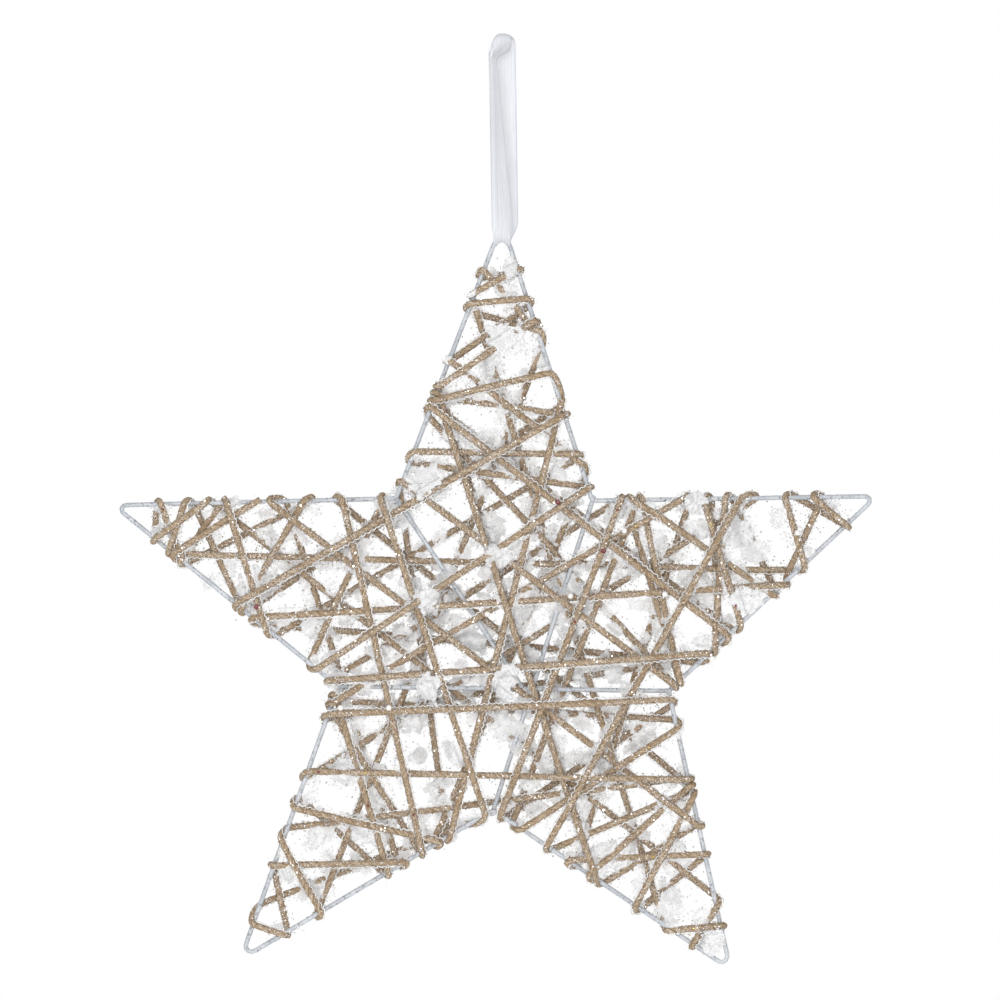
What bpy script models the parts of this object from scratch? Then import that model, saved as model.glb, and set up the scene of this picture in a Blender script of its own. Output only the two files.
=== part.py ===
"""Hanging star: a bent wire outline with three braces, wound with jute twine and dusted with snow.

Metres, +Z up, the front faces -Y. The origin is under the top fold of the hanging ribbon.
"""

import math

import bmesh
import bpy
import numpy as np
from mathutils import Matrix, Vector

# Star outline: the length between the sharp corners of the two side tips, at the wire's centre line
STAR_SPAN = 0.406
WIRE_DIAMETER = 0.0025
WIRE_RADIUS = WIRE_DIAMETER / 2

# Bend radii of the outline wire, at its centre line
TOP_TIP_BEND = 0.0045
SIDE_TIP_BEND = 0.0023
FOOT_TIP_BEND = 0.0031
NOTCH_BEND = 0.0017
LOWER_NOTCH_BEND = 0.0043

# Twine, and the small gaps that keep neighbouring pieces apart
TWINE_DIAMETER = 0.0032
TWINE_RADIUS = TWINE_DIAMETER / 2
TWINE_SPACING = 0.00012
TWINE_APART = TWINE_DIAMETER + TWINE_SPACING
TWINE_END = 0.0035
JOIN_GAP = 0.0003

# Hanging ribbon: a loop of thin band through the top tip
RIBBON_WIDTH = 0.0120
RIBBON_THICKNESS = 0.0006
RIBBON_DROP = 0.1092
RIBBON_BOW = 0.0062
RIBBON_FOLD_RADIUS = 0.0030

# How the ribbon hangs: the left edge of the front strand at its foot and how far it has moved
# at the fold, the same for the middle of the back strand, the most that the front strand turns
# about its own length, the shares of the height where it does and where the ribbon, bunched in
# the tip, has opened out, and how much lower its edges lie at the fold and over what share
FRONT_STRAND_EDGE = -0.0052
FRONT_STRAND_DRIFT = -0.0018
BACK_STRAND_MIDDLE = 0.0030
BACK_STRAND_DRIFT = -0.0016
RIBBON_TWIST = math.radians(70)
RIBBON_TWISTS_AT = 0.90
RIBBON_SPREADS_OVER = 0.12
RIBBON_LEFT_SAG = 0.0075
RIBBON_RIGHT_SAG = 0.0025
RIBBON_SAGS_OVER = 0.22

# Beads and snow
PEARL_DIAMETER = 0.0032
RED_BEAD_DIAMETER = 0.0027
SNOW_THICKNESS = 0.0020
SNOW_LEAST_DEPTH = 0.0009
SNOW_LEAST_REACH = 0.0020
SNOW_UNEVEN = 0.25
SNOW_LOBES = 3
SNOW_SHRINK = 0.9
SNOW_NUDGE = 0.0045
SNOW_NUDGES = 8
BEAD_OFF_TWINE = 0.0010

# Facets
WIRE_SIDES = 8
TWINE_SIDES = 5
SNOW_SIDES = 8
TIP_ARC_STEPS = 6
NOTCH_ARC_STEPS = 3
WRAP_STEPS = 4
RIBBON_STEPS = 16
RIBBON_LANES = 3
FOLD_STEPS = 5
SHARP_EDGE = math.radians(50)

# Where the twine goes round the wire: how far its centre line stays from the wire's, how far
# apart its turns lie along the wire, and how much they may slant
TWINE_TO_WIRE = TWINE_RADIUS + WIRE_RADIUS + JOIN_GAP
WRAP_RADIUS = TWINE_TO_WIRE / math.cos(0.5 * math.pi / WRAP_STEPS)
TWINE_PITCH = 1.07 * TWINE_DIAMETER
STEEPEST_WRAP = 0.8

# Taut twine: extra depth where two runs cross at a slant, passes of the two solvers, the least
# press that counts as a contact, the least distance between bends, and what counts as straight
MOST_SLACK = 0.0005
CROSSING_SLACK = 0.000016
SETTLE_SWEEPS = 300
LEAST_FORCE = 1e-7
LEAST_KINK_SPACING = 0.0025
PUSH_SWEEPS = 120
PUSH_SEARCH_EVERY = 10
STRAIGHT_ENOUGH = 0.0005

# The depth that snow never goes past
SNOW_DEEPEST = 0.0034

# Floors that keep divisions safe: a length, the square of a length, a product of two squares,
# the sine of an angle, and what is added to the stiffness of a contact
LEAST_LENGTH = 1e-9
LEAST_SQUARE = 1e-12
LEAST_SPREAD = 1e-18
LEAST_SINE = 1e-6
CONTACT_EASE = 1e-6

# Corners of the outline, clockwise from the top tip: share of the span right of the middle,
# share of the span above the side tips, bend radius
CORNERS = [
    (-0.001, 0.364, TOP_TIP_BEND),
    (0.117, -0.001, NOTCH_BEND),
    (0.490, 0.005, SIDE_TIP_BEND),
    (0.217, -0.250, NOTCH_BEND),
    (0.298, -0.615, FOOT_TIP_BEND),
    (-0.013, -0.406, LOWER_NOTCH_BEND),
    (-0.344, -0.602, FOOT_TIP_BEND),
    (-0.216, -0.244, NOTCH_BEND),
    (-0.510, -0.007, SIDE_TIP_BEND),
    (-0.140, 0.002, NOTCH_BEND),
]
UPPER_RIGHT_NOTCH = 1
RIGHT_NOTCH = 3
LOWER_NOTCH = 5
LEFT_NOTCH = 7
UPPER_LEFT_NOTCH = 9

# How far along the level brace, from its left end, the left brace meets it
LEFT_BRACE_MEETS = 0.56

# The twine's route. Each straight run has the station where it starts, the station where it
# ends, and its layer. A station is the outline side, counted clockwise from the top tip, plus
# the share of the way along it. Runs lie behind and in front of the wire by turns, the first
# one in front, and between two runs the twine goes round the outside of the wire. Of two runs
# that cross on the same face, the one with the higher layer lies further out.
RUNS = [
    (0.655, 5.17, 2), (5.185, 9.025, 2), (9.06, 2.97, 2), (2.975, 9.30, 1),
    (9.33, 2.715, 3), (2.75, 1.42, 1), (1.39, 2.655, 2), (2.69, 9.345, 3),
    (9.37, 0.54, 3), (0.66, 7.42, 2), (7.44, 8.675, 0), (8.70, 7.68, 2),
    (7.715, 8.17, 0), (8.15, 7.82, 0), (7.815, 8.325, 2), (8.35, 3.735, 1),
    (3.775, 4.16, 0), (4.145, 3.855, 0), (3.84, 4.25, 1), (4.28, 9.72, 1),
    (9.745, 0.17, 2), (0.18, 9.80, 0), (9.825, 0.37, 0), (0.445, 5.70, 1),
    (5.68, 6.425, 2), (6.48, 3.315, 0), (3.32, 6.69, 4), (6.66, 1.58, 1),
    (1.52, 4.775, 4), (4.75, 3.35, 0), (3.385, 4.40, 1), (4.375, 3.595, 1),
    (3.585, 4.685, 0), (4.65, 1.345, 1), (1.315, 6.95, 1), (6.915, 5.29, 0),
    (5.28, 8.81, 4), (8.785, 3.345, 2), (3.34, 4.595, 1), (4.57, 9.40, 2),
    (9.38, 0.37, 2), (0.385, 9.68, 1), (9.705, 0.275, 2), (0.30, 9.495, 0),
    (9.50, 0.855, 1), (0.915, 5.235, 1), (5.21, 6.555, 3), (6.59, 5.43, 1),
    (5.415, 6.975, 0), (6.945, 3.105, 1), (3.135, 4.88, 3), (4.92, 1.16, 0),
    (1.165, 2.965, 0), (2.97, 1.12, 0), (1.16, 2.505, 1), (2.485, 1.495, 1),
    (1.465, 2.785, 1), (2.85, 6.88, 3), (6.90, 3.03, 6), (3.055, 4.95, 1),
    (4.975, 1.10, 4), (1.095, 7.02, 1), (7.015, 2.80, 4), (2.835, 7.34, 2),
    (7.38, 2.455, 1), (2.43, 1.81, 0), (1.775, 2.15, 1), (2.15, 1.72, 0),
    (1.675, 2.35, 1), (2.385, 7.73, 0), (7.75, 8.25, 1), (8.28, 7.43, 1),
    (7.445, 0.69, 4), (0.69, 9.37, 0), (9.395, 4.57, 2), (4.535, 3.48, 0),
    (3.485, 8.55, 1), (8.61, 5.375, 1), (5.345, 6.345, 1), (6.335, 5.815, 0),
    (5.83, 6.13, 1), (6.20, 5.10, 1), (5.02, 8.945, 5), (8.955, 7.13, 0),
    (7.095, 0.955, 5), (0.95, 9.13, 0), (9.17, 0.835, 1), (0.845, 7.28, 1),
    (7.325, 8.40, 2), (8.38, 7.70, 0), (7.725, 8.50, 0),
]

# Beads and snow, placed in thousandths of the span right of the middle and above the side tips
PEARLS = [
    (87, -104), (-14, -160), (-207, -270), (387, -42), (155, -34), (212, -130), (-149, -271),
    (273, -214),
]
RED_BEADS = [(73, -1), (135, -68), (-324, -140)]

# Snow clumps that fill openings between the twine, each with its reach in metres
SNOW = [
    (10, 307, 0.0053), (4, 276, 0.0053), (4, 211, 0.0080), (-21, 176, 0.0053),
    (-45, 76, 0.0069), (-100, 27, 0.0080), (10, 48, 0.0064), (-135, -21, 0.0064),
    (-14, -34, 0.0074), (-8, -75, 0.0064), (-101, -131, 0.0074), (81, -113, 0.0080),
    (20, -139, 0.0069), (75, -145, 0.0069), (-48, -177, 0.0085), (-98, -241, 0.0080),
    (3, -225, 0.0074), (-208, -356, 0.0080), (10, -303, 0.0085), (126, -339, 0.0074),
    (305, -45, 0.0080), (329, -68, 0.0069), (318, -132, 0.0074), (-321, -106, 0.0085),
    (-193, -71, 0.0074), (-232, -80, 0.0064), (-240, -440, 0.0069), (-180, -435, 0.0064),
    (131, -464, 0.0074), (218, -531, 0.0074), (275, -578, 0.0064), (-59, -334, 0.0064),
]


def remove_everything():
    for item in list(bpy.data.objects):
        bpy.data.objects.remove(item, do_unlink=True)


def material(name, colour, roughness, metallic=0.0):
    surface = bpy.data.materials.new(name)
    surface.use_nodes = True
    shader = surface.node_tree.nodes["Principled BSDF"]
    shader.inputs["Base Color"].default_value = (*colour, 1.0)
    shader.inputs["Roughness"].default_value = roughness
    shader.inputs["Metallic"].default_value = metallic
    return surface


def add_object(name, mesh_builder, surface, smooth=True):
    mesh = bpy.data.meshes.new(name)
    bmesh.ops.triangulate(mesh_builder, faces=mesh_builder.faces)
    bmesh.ops.recalc_face_normals(mesh_builder, faces=mesh_builder.faces)
    mesh_builder.to_mesh(mesh)
    mesh_builder.free()
    mesh.materials.append(surface)
    if smooth:
        mesh.shade_smooth()
        mesh.set_sharp_from_angle(angle=SHARP_EDGE)
    item = bpy.data.objects.new(name, mesh)
    bpy.context.scene.collection.objects.link(item)
    return item


def unit(vector):
    return vector / np.linalg.norm(vector)


def eased(share):
    """A share from 0 to 1 that starts and ends gently."""
    return share * share * (3 - 2 * share)


def place(right, up):
    """A point of the star's plane, from thousandths of the span."""
    return np.array((right, up)) * STAR_SPAN / 1000 + SHIFT


def bend(points, index, radius, steps):
    """Centre-line points of the bend at one sharp corner, in the direction of travel."""
    corner = points[index]
    before = unit(points[index - 1] - corner)
    after = unit(points[(index + 1) % len(points)] - corner)
    half = 0.5 * math.acos(float(before @ after))
    centre = corner + unit(before + after) * radius / math.sin(half)
    start = corner + before * radius / math.tan(half) - centre
    end = corner + after * radius / math.tan(half) - centre
    turn = math.acos(float(unit(start) @ unit(end)))
    arc = []
    for step in range(steps + 1):
        share = step / steps
        arc.append(centre + (start * math.sin((1 - share) * turn)
                             + end * math.sin(share * turn)) / math.sin(turn))
    return arc


def is_tip(index):
    return index % 2 == 0


def outline_bends():
    """The bend at each corner of the outline."""
    bends = []
    for index, (_, _, radius) in enumerate(CORNERS):
        steps = TIP_ARC_STEPS if is_tip(index) else NOTCH_ARC_STEPS
        bends.append(bend(CORNER_POINTS, index, radius, steps))
    return bends


def middle(arc):
    """The middle of a bend's centre line."""
    return 0.5 * (arc[(len(arc) - 1) // 2] + arc[len(arc) // 2])


def in_space(point, depth=0.0):
    return np.array((point[0], depth, point[1]))


def sweep(path, radius, sides, closed=False):
    """A round tube along a path, with flat caps or closed on itself."""
    path = [np.asarray(point, float) for point in path]
    count = len(path)
    tangents = []
    for index in range(count):
        before = path[index - 1] if index or closed else path[index]
        after = path[(index + 1) % count] if index < count - 1 or closed else path[index]
        here = path[index]
        parts = [unit(step) for step in (here - before, after - here) if np.any(step)]
        tangents.append(unit(sum(parts)))
    mesh_builder = bmesh.new()
    side = unit(np.cross(tangents[0], (0.0, 1.0, 0.0)))
    rings = []
    for point, tangent in zip(path, tangents):
        side = unit(side - tangent * (side @ tangent))
        other = np.cross(tangent, side)
        ring = []
        for corner in range(sides):
            angle = 2 * math.pi * corner / sides
            offset = side * math.cos(angle) + other * math.sin(angle)
            ring.append(mesh_builder.verts.new(point + radius * offset))
        rings.append(ring)
    spans = list(zip(rings, rings[1:]))
    if closed:
        spans.append((rings[-1], rings[0]))
    for ring, following in spans:
        for corner in range(sides):
            beside = (corner + 1) % sides
            mesh_builder.faces.new((ring[corner], ring[beside], following[beside],
                                    following[corner]))
    if not closed:
        mesh_builder.faces.new(rings[0])
        mesh_builder.faces.new(rings[-1])
    return mesh_builder


def brace_ends():
    """The three braces, each as its two ends and its depth behind the outline."""
    left = middle(BENDS[LEFT_NOTCH])
    right = middle(BENDS[RIGHT_NOTCH])
    along = unit(right - left)
    clear = 2 * WIRE_RADIUS + JOIN_GAP
    level = (left + along * clear, right - along * clear, 0.0)

    top = middle(BENDS[UPPER_LEFT_NOTCH])
    meeting = left + LEFT_BRACE_MEETS * (right - left)
    down = unit(meeting - top)
    lean = abs(float(down @ along))
    square = math.sqrt(1 - lean * lean)
    short_of = (WIRE_RADIUS + JOIN_GAP + WIRE_RADIUS * lean) / square
    slanted = (top + down * clear, meeting - down * short_of, 0.0)

    behind = (middle(BENDS[UPPER_RIGHT_NOTCH]), middle(BENDS[LOWER_NOTCH]), clear)
    return {"level_brace_wire": level, "left_brace_wire": slanted, "right_brace_wire": behind}


def side_of(station):
    """Start, direction, outward normal and length of the outline side that a station is on."""
    index = int(station) % len(CORNERS)
    start = CORNER_POINTS[index]
    reach = CORNER_POINTS[(index + 1) % len(CORNERS)] - start
    length = float(np.linalg.norm(reach))
    along = reach / length
    outward = np.array((-along[1], along[0]))
    return start, along, outward, length


def side_limits(index):
    """The stretch of a side where twine can go round the wire, clear of the bends."""
    limits = []
    for corner, sign in ((index, 1), ((index + 1) % len(CORNERS), -1)):
        here = CORNER_POINTS[corner]
        before = unit(CORNER_POINTS[corner - 1] - here)
        after = unit(CORNER_POINTS[(corner + 1) % len(CORNERS)] - here)
        half = 0.5 * math.acos(float(before @ after))
        if is_tip(corner):
            room = TWINE_PITCH / math.sin(2 * half)
        else:
            room = (WRAP_RADIUS + TWINE_RADIUS) / math.tan(half) + TWINE_RADIUS
        limits.append(room)
    _, _, _, length = side_of(index)
    return limits[0], length - limits[1]


def spaced(wanted, low, high):
    """The nearest places to the wanted ones that rise by at least the twine's pitch."""
    blocks = []
    for index, value in enumerate(wanted):
        blocks.append([value - index * TWINE_PITCH, 1])
        while len(blocks) > 1 and blocks[-2][0] >= blocks[-1][0]:
            total, count = blocks.pop()
            before, size = blocks.pop()
            blocks.append([(before * size + total * count) / (size + count), size + count])
    places = []
    for value, count in blocks:
        for _ in range(count):
            places.append(value + len(places) * TWINE_PITCH)
    last = len(places) - 1
    for index in range(len(places)):
        floor = low + index * TWINE_PITCH
        ceiling = high - (last - index) * TWINE_PITCH
        places[index] = max(floor, min(ceiling, places[index]))
    return places


def run_ends():
    """Where each run starts and ends, as distances along its outline sides."""
    turns = {side: [] for side in range(len(CORNERS))}
    for index in range(len(RUNS) + 1):
        ends = []
        if index > 0:
            ends.append((index - 1, 1, RUNS[index - 1][1]))
        if index < len(RUNS):
            ends.append((index, 0, RUNS[index][0]))
        side = int(ends[0][2]) % len(CORNERS)
        mean = sum(station for _, _, station in ends) / len(ends)
        turns[side].append((mean, ends))
    distances = {}
    for side, group in turns.items():
        group.sort(key=lambda turn: turn[0])
        _, _, _, length = side_of(side)
        low, high = side_limits(side)
        for face in (0, 1):
            chosen = [end for _, ends in group for end in ends if end[0] % 2 == face]
            wanted = [(station - side) * length for _, _, station in chosen]
            for end, value in zip(chosen, spaced(wanted, low, high)):
                distances[end[:2]] = value
    return distances


def end_point(distances, run, end):
    start, along, _, _ = side_of(RUNS[run][end])
    return start + along * distances[(run, end)]


def nearest(first, second):
    """The shares along two plane segments where they come closest, and how close."""
    a, b = first
    c, d = second
    u, v, w = b - a, d - c, a - c
    cross = u[0] * v[1] - u[1] * v[0]
    if abs(cross) > LEAST_SQUARE:
        s = (v[0] * w[1] - v[1] * w[0]) / cross
        t = (u[0] * w[1] - u[1] * w[0]) / cross
        if 0 <= s <= 1 and 0 <= t <= 1:
            return s, t, 0.0
    best = None
    for share, point in ((0.0, a), (1.0, b)):
        t = min(1.0, max(0.0, float((point - c) @ v) / float(v @ v)))
        gap = float(np.linalg.norm(c + t * v - point))
        if best is None or gap < best[2]:
            best = (share, t, gap)
    for share, point in ((0.0, c), (1.0, d)):
        s = min(1.0, max(0.0, float((point - a) @ u) / float(u @ u)))
        gap = float(np.linalg.norm(a + s * u - point))
        if gap < best[2]:
            best = (s, share, gap)
    return best


def order_from_front(run):
    """Sorting key: front runs by falling layer, then back runs by rising layer."""
    layer = RUNS[run][2] + run / len(RUNS)
    return (0, -layer) if run % 2 == 0 else (1, layer)


def crossings(segments):
    """Contacts between runs, and between runs and wires: which, where, how far apart."""
    contacts = []
    for first in range(len(segments)):
        for second in range(first + 1, len(segments)):
            front, back = first, second
            if order_from_front(second) < order_from_front(first):
                front, back = second, first
            s, t, gap = nearest(segments[front], segments[back])
            if gap >= TWINE_APART:
                continue
            u = unit(segments[front][1] - segments[front][0])
            v = unit(segments[back][1] - segments[back][0])
            sine = abs(u[0] * v[1] - u[1] * v[0])
            slack = min(MOST_SLACK, CROSSING_SLACK / max(sine, LEAST_SINE) ** 2)
            needed = math.sqrt((TWINE_APART + slack) ** 2 - gap ** 2)
            contacts.append((front, s, back, t, needed, 0.0))
    for run, segment in enumerate(segments):
        for start, end, depth in BRACES.values():
            s, _, gap = nearest(segment, (start, end))
            if gap < TWINE_TO_WIRE:
                needed = math.sqrt(TWINE_TO_WIRE ** 2 - gap ** 2)
                if run % 2 == 0:
                    contacts.append((run, s, None, 0.0, needed, depth))
                else:
                    contacts.append((None, 0.0, run, s, needed, depth))
    return contacts


def settle_runs(segments):
    """Depth of each run where others press on it, as taut strings in balance."""
    contacts = crossings(segments)
    lengths = [float(np.linalg.norm(end - start)) for start, end in segments]
    rest = [-WRAP_RADIUS if run % 2 == 0 else WRAP_RADIUS for run in range(len(segments))]
    on_run = {run: [] for run in range(len(segments))}
    for number, (front, s, back, t, _, _) in enumerate(contacts):
        if front is not None:
            on_run[front].append((number, s * lengths[front], -1.0))
        if back is not None:
            on_run[back].append((number, t * lengths[back], 1.0))
    size = len(contacts)
    stiff = np.zeros((size, size))
    for run, marks in on_run.items():
        for first, u, sign in marks:
            for second, v, other in marks:
                give = min(u, v) * (lengths[run] - max(u, v)) / lengths[run]
                stiff[first, second] += sign * other * give
    gaps = np.zeros(size)
    for number, (front, _, back, _, needed, depth) in enumerate(contacts):
        ahead = rest[front] if front is not None else depth
        behind = rest[back] if back is not None else depth
        gaps[number] = behind - ahead - needed
    diagonal = np.diag(stiff) + CONTACT_EASE
    force = np.zeros(size)
    for _ in range(SETTLE_SWEEPS):
        for number in range(size):
            gap = gaps[number] + stiff[number] @ force
            force[number] = max(0.0, force[number] - gap / diagonal[number])
    shapes = []
    for run, marks in on_run.items():
        kinks = sorted(u for number, u, _ in marks if force[number] > LEAST_FORCE)
        points = []
        for u in kinks:
            depth = rest[run]
            for number, v, sign in marks:
                give = min(u, v) * (lengths[run] - max(u, v)) / lengths[run]
                depth += sign * force[number] * give
            if points and u - points[-1][0] < LEAST_KINK_SPACING:
                continue
            if min(u, lengths[run] - u) < LEAST_KINK_SPACING:
                continue
            points.append((u, depth))
        shapes.append(points)
    return shapes


def wrap_points(run, distances, slope_in, slope_out):
    """The twine's way round the wire, between a run's end and the next run's start."""
    start, along, outward, _ = side_of(RUNS[run][1])
    first = distances[(run, 1)]
    last = distances[(run + 1, 0)]
    face = -1.0 if run % 2 == 0 else 1.0
    points = []
    for step in range(WRAP_STEPS + 1):
        share = step / WRAP_STEPS
        angle = math.pi * share
        lead = share * (1 - share) ** 2 * slope_in
        trail = share * share * (share - 1) * slope_out
        shift = first + (last - first) * eased(share) + (lead + trail) * math.pi * WRAP_RADIUS
        plane = start + along * shift + outward * WRAP_RADIUS * math.sin(angle)
        points.append(in_space(plane, face * WRAP_RADIUS * math.cos(angle)))
    return points


def end_slope(segments, run, end):
    """How fast a run moves along its outline side for each metre that it moves outward."""
    _, along, outward, _ = side_of(RUNS[run][end])
    travel = unit(segments[run][1] - segments[run][0])
    out = max(LEAST_SINE, abs(float(travel @ outward)))
    slope = float(travel @ along) / out
    return max(-STEEPEST_WRAP, min(STEEPEST_WRAP, slope))


def twine_path():
    """The whole route of the twine, from one free end to the other."""
    distances = run_ends()
    segments = []
    for run in range(len(RUNS)):
        segments.append((end_point(distances, run, 0), end_point(distances, run, 1)))
    shapes = settle_runs(segments)
    path = []
    for run, (start, end) in enumerate(segments):
        travel = unit(end - start)
        rest = -WRAP_RADIUS if run % 2 == 0 else WRAP_RADIUS
        if run == 0:
            path.append(in_space(start - travel * TWINE_END, rest))
            path.append(in_space(start, rest))
        for u, depth in shapes[run]:
            path.append(in_space(start + travel * u, depth))
        if run == len(RUNS) - 1:
            path.append(in_space(end, rest))
            path.append(in_space(end + travel * TWINE_END, rest))
        else:
            slope_in = end_slope(segments, run, 1)
            slope_out = end_slope(segments, run + 1, 0)
            path.extend(wrap_points(run, distances, slope_in, slope_out))
    return np.array(path)


def closest_shares(start_a, end_a, start_b, end_b):
    """Shares along pairs of segments in space where each pair comes closest."""
    u = end_a - start_a
    v = end_b - start_b
    w = start_a - start_b
    a = np.sum(u * u, axis=1)
    b = np.sum(u * v, axis=1)
    c = np.sum(v * v, axis=1)
    d = np.sum(u * w, axis=1)
    e = np.sum(v * w, axis=1)
    spread = np.maximum(a * c - b * b, LEAST_SPREAD)
    s = np.clip((b * e - c * d) / spread, 0, 1)
    t = np.clip((b * s + e) / c, 0, 1)
    s = np.clip((b * t - d) / a, 0, 1)
    return s, t


def move_apart(path, wires):
    """Shift the twine's points until no stretch of it lies in another or in a wire."""
    count = len(path) - 1
    for sweep_number in range(PUSH_SWEEPS):
        starts, ends = path[:-1], path[1:]
        middles = 0.5 * (starts + ends)
        halves = 0.5 * np.linalg.norm(ends - starts, axis=1)
        if sweep_number % PUSH_SEARCH_EVERY == 0:
            reach = np.concatenate(([0.0], np.cumsum(2 * halves)))
            along = 0.5 * (reach[:-1] + reach[1:])
            first, second = np.triu_indices(count, 2)
            near = np.linalg.norm(middles[first] - middles[second], axis=1)
            near = near < halves[first] + halves[second] + 2 * TWINE_APART
            between = along[second] - along[first] - halves[first] - halves[second]
            loose = between > 2 * TWINE_APART
            first, second = first[near & loose], second[near & loose]
            s, t = closest_shares(starts[first], ends[first], starts[second], ends[second])
            gap = (starts[first] + s[:, None] * (ends - starts)[first]
                   - starts[second] - t[:, None] * (ends - starts)[second])
            near = np.linalg.norm(gap, axis=1) < 2 * TWINE_APART
            first, second = first[near], second[near]
        shift = np.zeros_like(path)
        weight = np.zeros(len(path))
        s, t = closest_shares(starts[first], ends[first], starts[second], ends[second])
        gap = (starts[first] + s[:, None] * (ends - starts)[first]
               - starts[second] - t[:, None] * (ends - starts)[second])
        length = np.maximum(np.linalg.norm(gap, axis=1), LEAST_LENGTH)
        short = np.maximum(0.0, TWINE_APART - length)
        push = gap / length[:, None] * (0.5 * short)[:, None]
        for indices, share, sign in ((first, s, 1.0), (second, t, -1.0)):
            base = (1 - share) ** 2 + share ** 2
            for offset, part in ((0, 1 - share), (1, share)):
                np.add.at(shift, indices + offset, sign * push * (part / base)[:, None])
                np.add.at(weight, indices + offset, (short > 0) * part)
        wire_start, wire_end = wires
        for start, end in zip(wire_start, wire_end):
            close = np.linalg.norm(middles - 0.5 * (start + end), axis=1)
            close = close < halves + 0.5 * np.linalg.norm(end - start) + TWINE_TO_WIRE
            indices = np.nonzero(close)[0]
            if len(indices) == 0:
                continue
            many = np.ones((len(indices), 1))
            s, t = closest_shares(starts[indices], ends[indices], many * start, many * end)
            gap = (starts[indices] + s[:, None] * (ends - starts)[indices]
                   - start - t[:, None] * (end - start))
            length = np.maximum(np.linalg.norm(gap, axis=1), LEAST_LENGTH)
            short = np.maximum(0.0, TWINE_TO_WIRE - length)
            push = gap / length[:, None] * short[:, None]
            base = (1 - s) ** 2 + s ** 2
            for offset, part in ((0, 1 - s), (1, s)):
                np.add.at(shift, indices + offset, push * (part / base)[:, None])
                np.add.at(weight, indices + offset, (short > 0) * part)
        path = path + shift / np.maximum(1.0, weight)[:, None]
    return path


def fewer_points(path):
    """Leave out points where the twine runs almost straight."""
    kept = list(path)
    index = 1
    while index < len(kept) - 1:
        before, here, after = kept[index - 1:index + 2]
        chord = unit(after - before)
        off_line = np.linalg.norm(np.cross(here - before, chord))
        if off_line < STRAIGHT_ENOUGH:
            kept.pop(index)
        else:
            index += 1
    return np.array(kept)


def ribbon_twist(share):
    """How far the front strand is turned about its own length at a share of its height."""
    rising = min(1.0, share / RIBBON_TWISTS_AT)
    falling = max(0.0, (share - RIBBON_TWISTS_AT) / (1 - RIBBON_TWISTS_AT))
    turned_by = math.acos(1 - (1 - math.cos(RIBBON_TWIST)) * rising)
    return turned_by * (1 - eased(falling))


def fold_sag(offset, share):
    """How much lower the ribbon lies off its middle, towards the fold."""
    most = RIBBON_LEFT_SAG if offset < 0 else RIBBON_RIGHT_SAG
    nearness = max(0.0, 1 - (1 - share) / RIBBON_SAGS_OVER)
    return most * (2 * abs(offset) / RIBBON_WIDTH) ** 3 * eased(nearness)


def strand_middle(share, face):
    """How far right the middle of the front or back strand hangs at a share of its height."""
    if face > 0:
        return BACK_STRAND_MIDDLE + BACK_STRAND_DRIFT * share
    edge = FRONT_STRAND_EDGE + FRONT_STRAND_DRIFT * share
    return edge + RIBBON_WIDTH / 2 * math.cos(ribbon_twist(share))


def ribbon_rings():
    """Middle surface of the ribbon: rings across it, from under the wire round the loop."""
    start = RIBBON_WIDTH / 2
    across = [start * (2 * step / RIBBON_LANES - 1) for step in range(RIBBON_LANES + 1)]
    seat = WIRE_RADIUS + JOIN_GAP + RIBBON_THICKNESS / 2
    fold = RIBBON_FOLD_RADIUS + RIBBON_THICKNESS / 2
    fold_centre = -RIBBON_FOLD_RADIUS
    arc_centre = -RIBBON_DROP - TOP_TIP_BEND

    def seated(offset, turn):
        lean = offset / TOP_TIP_BEND
        reach = TOP_TIP_BEND - seat * math.cos(turn)
        return np.array((reach * math.sin(lean), seat * math.sin(turn),
                         arc_centre + reach * math.cos(lean)))

    def strand(offset, share, face):
        low = seated(offset, face * math.pi / 2)
        spread = eased(min(1.0, share / RIBBON_SPREADS_OVER))
        swell = math.sin(math.pi * share)
        turn = ribbon_twist(share) if face < 0 else 0.0
        wide = strand_middle(share, face) + offset * math.cos(turn)
        x = low[0] + (wide - low[0]) * spread
        y = face * (seat + (fold - seat) * share + RIBBON_BOW * swell)
        y -= offset * math.sin(turn) * spread
        height = low[2] + (fold_centre - low[2]) * share - fold_sag(offset, share)
        return np.array((x, y, height))

    rings = []
    for step in range(RIBBON_STEPS + 1):
        rings.append([strand(offset, step / RIBBON_STEPS, -1) for offset in across])
    for step in range(1, FOLD_STEPS):
        share = step / FOLD_STEPS
        angle = math.pi * share
        height = fold_centre + fold * math.sin(angle)
        middle_x = (1 - share) * strand_middle(1.0, -1) + share * strand_middle(1.0, 1)
        depth = -fold * math.cos(angle)
        rings.append([np.array((middle_x + offset, depth, height - fold_sag(offset, 1.0)))
                      for offset in across])
    for step in range(RIBBON_STEPS + 1):
        rings.append([strand(offset, 1 - step / RIBBON_STEPS, 1) for offset in across])
    for step in range(1, FOLD_STEPS):
        turn = math.pi * (0.5 - step / FOLD_STEPS)
        rings.append([seated(offset, turn) for offset in across])
    return rings


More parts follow.
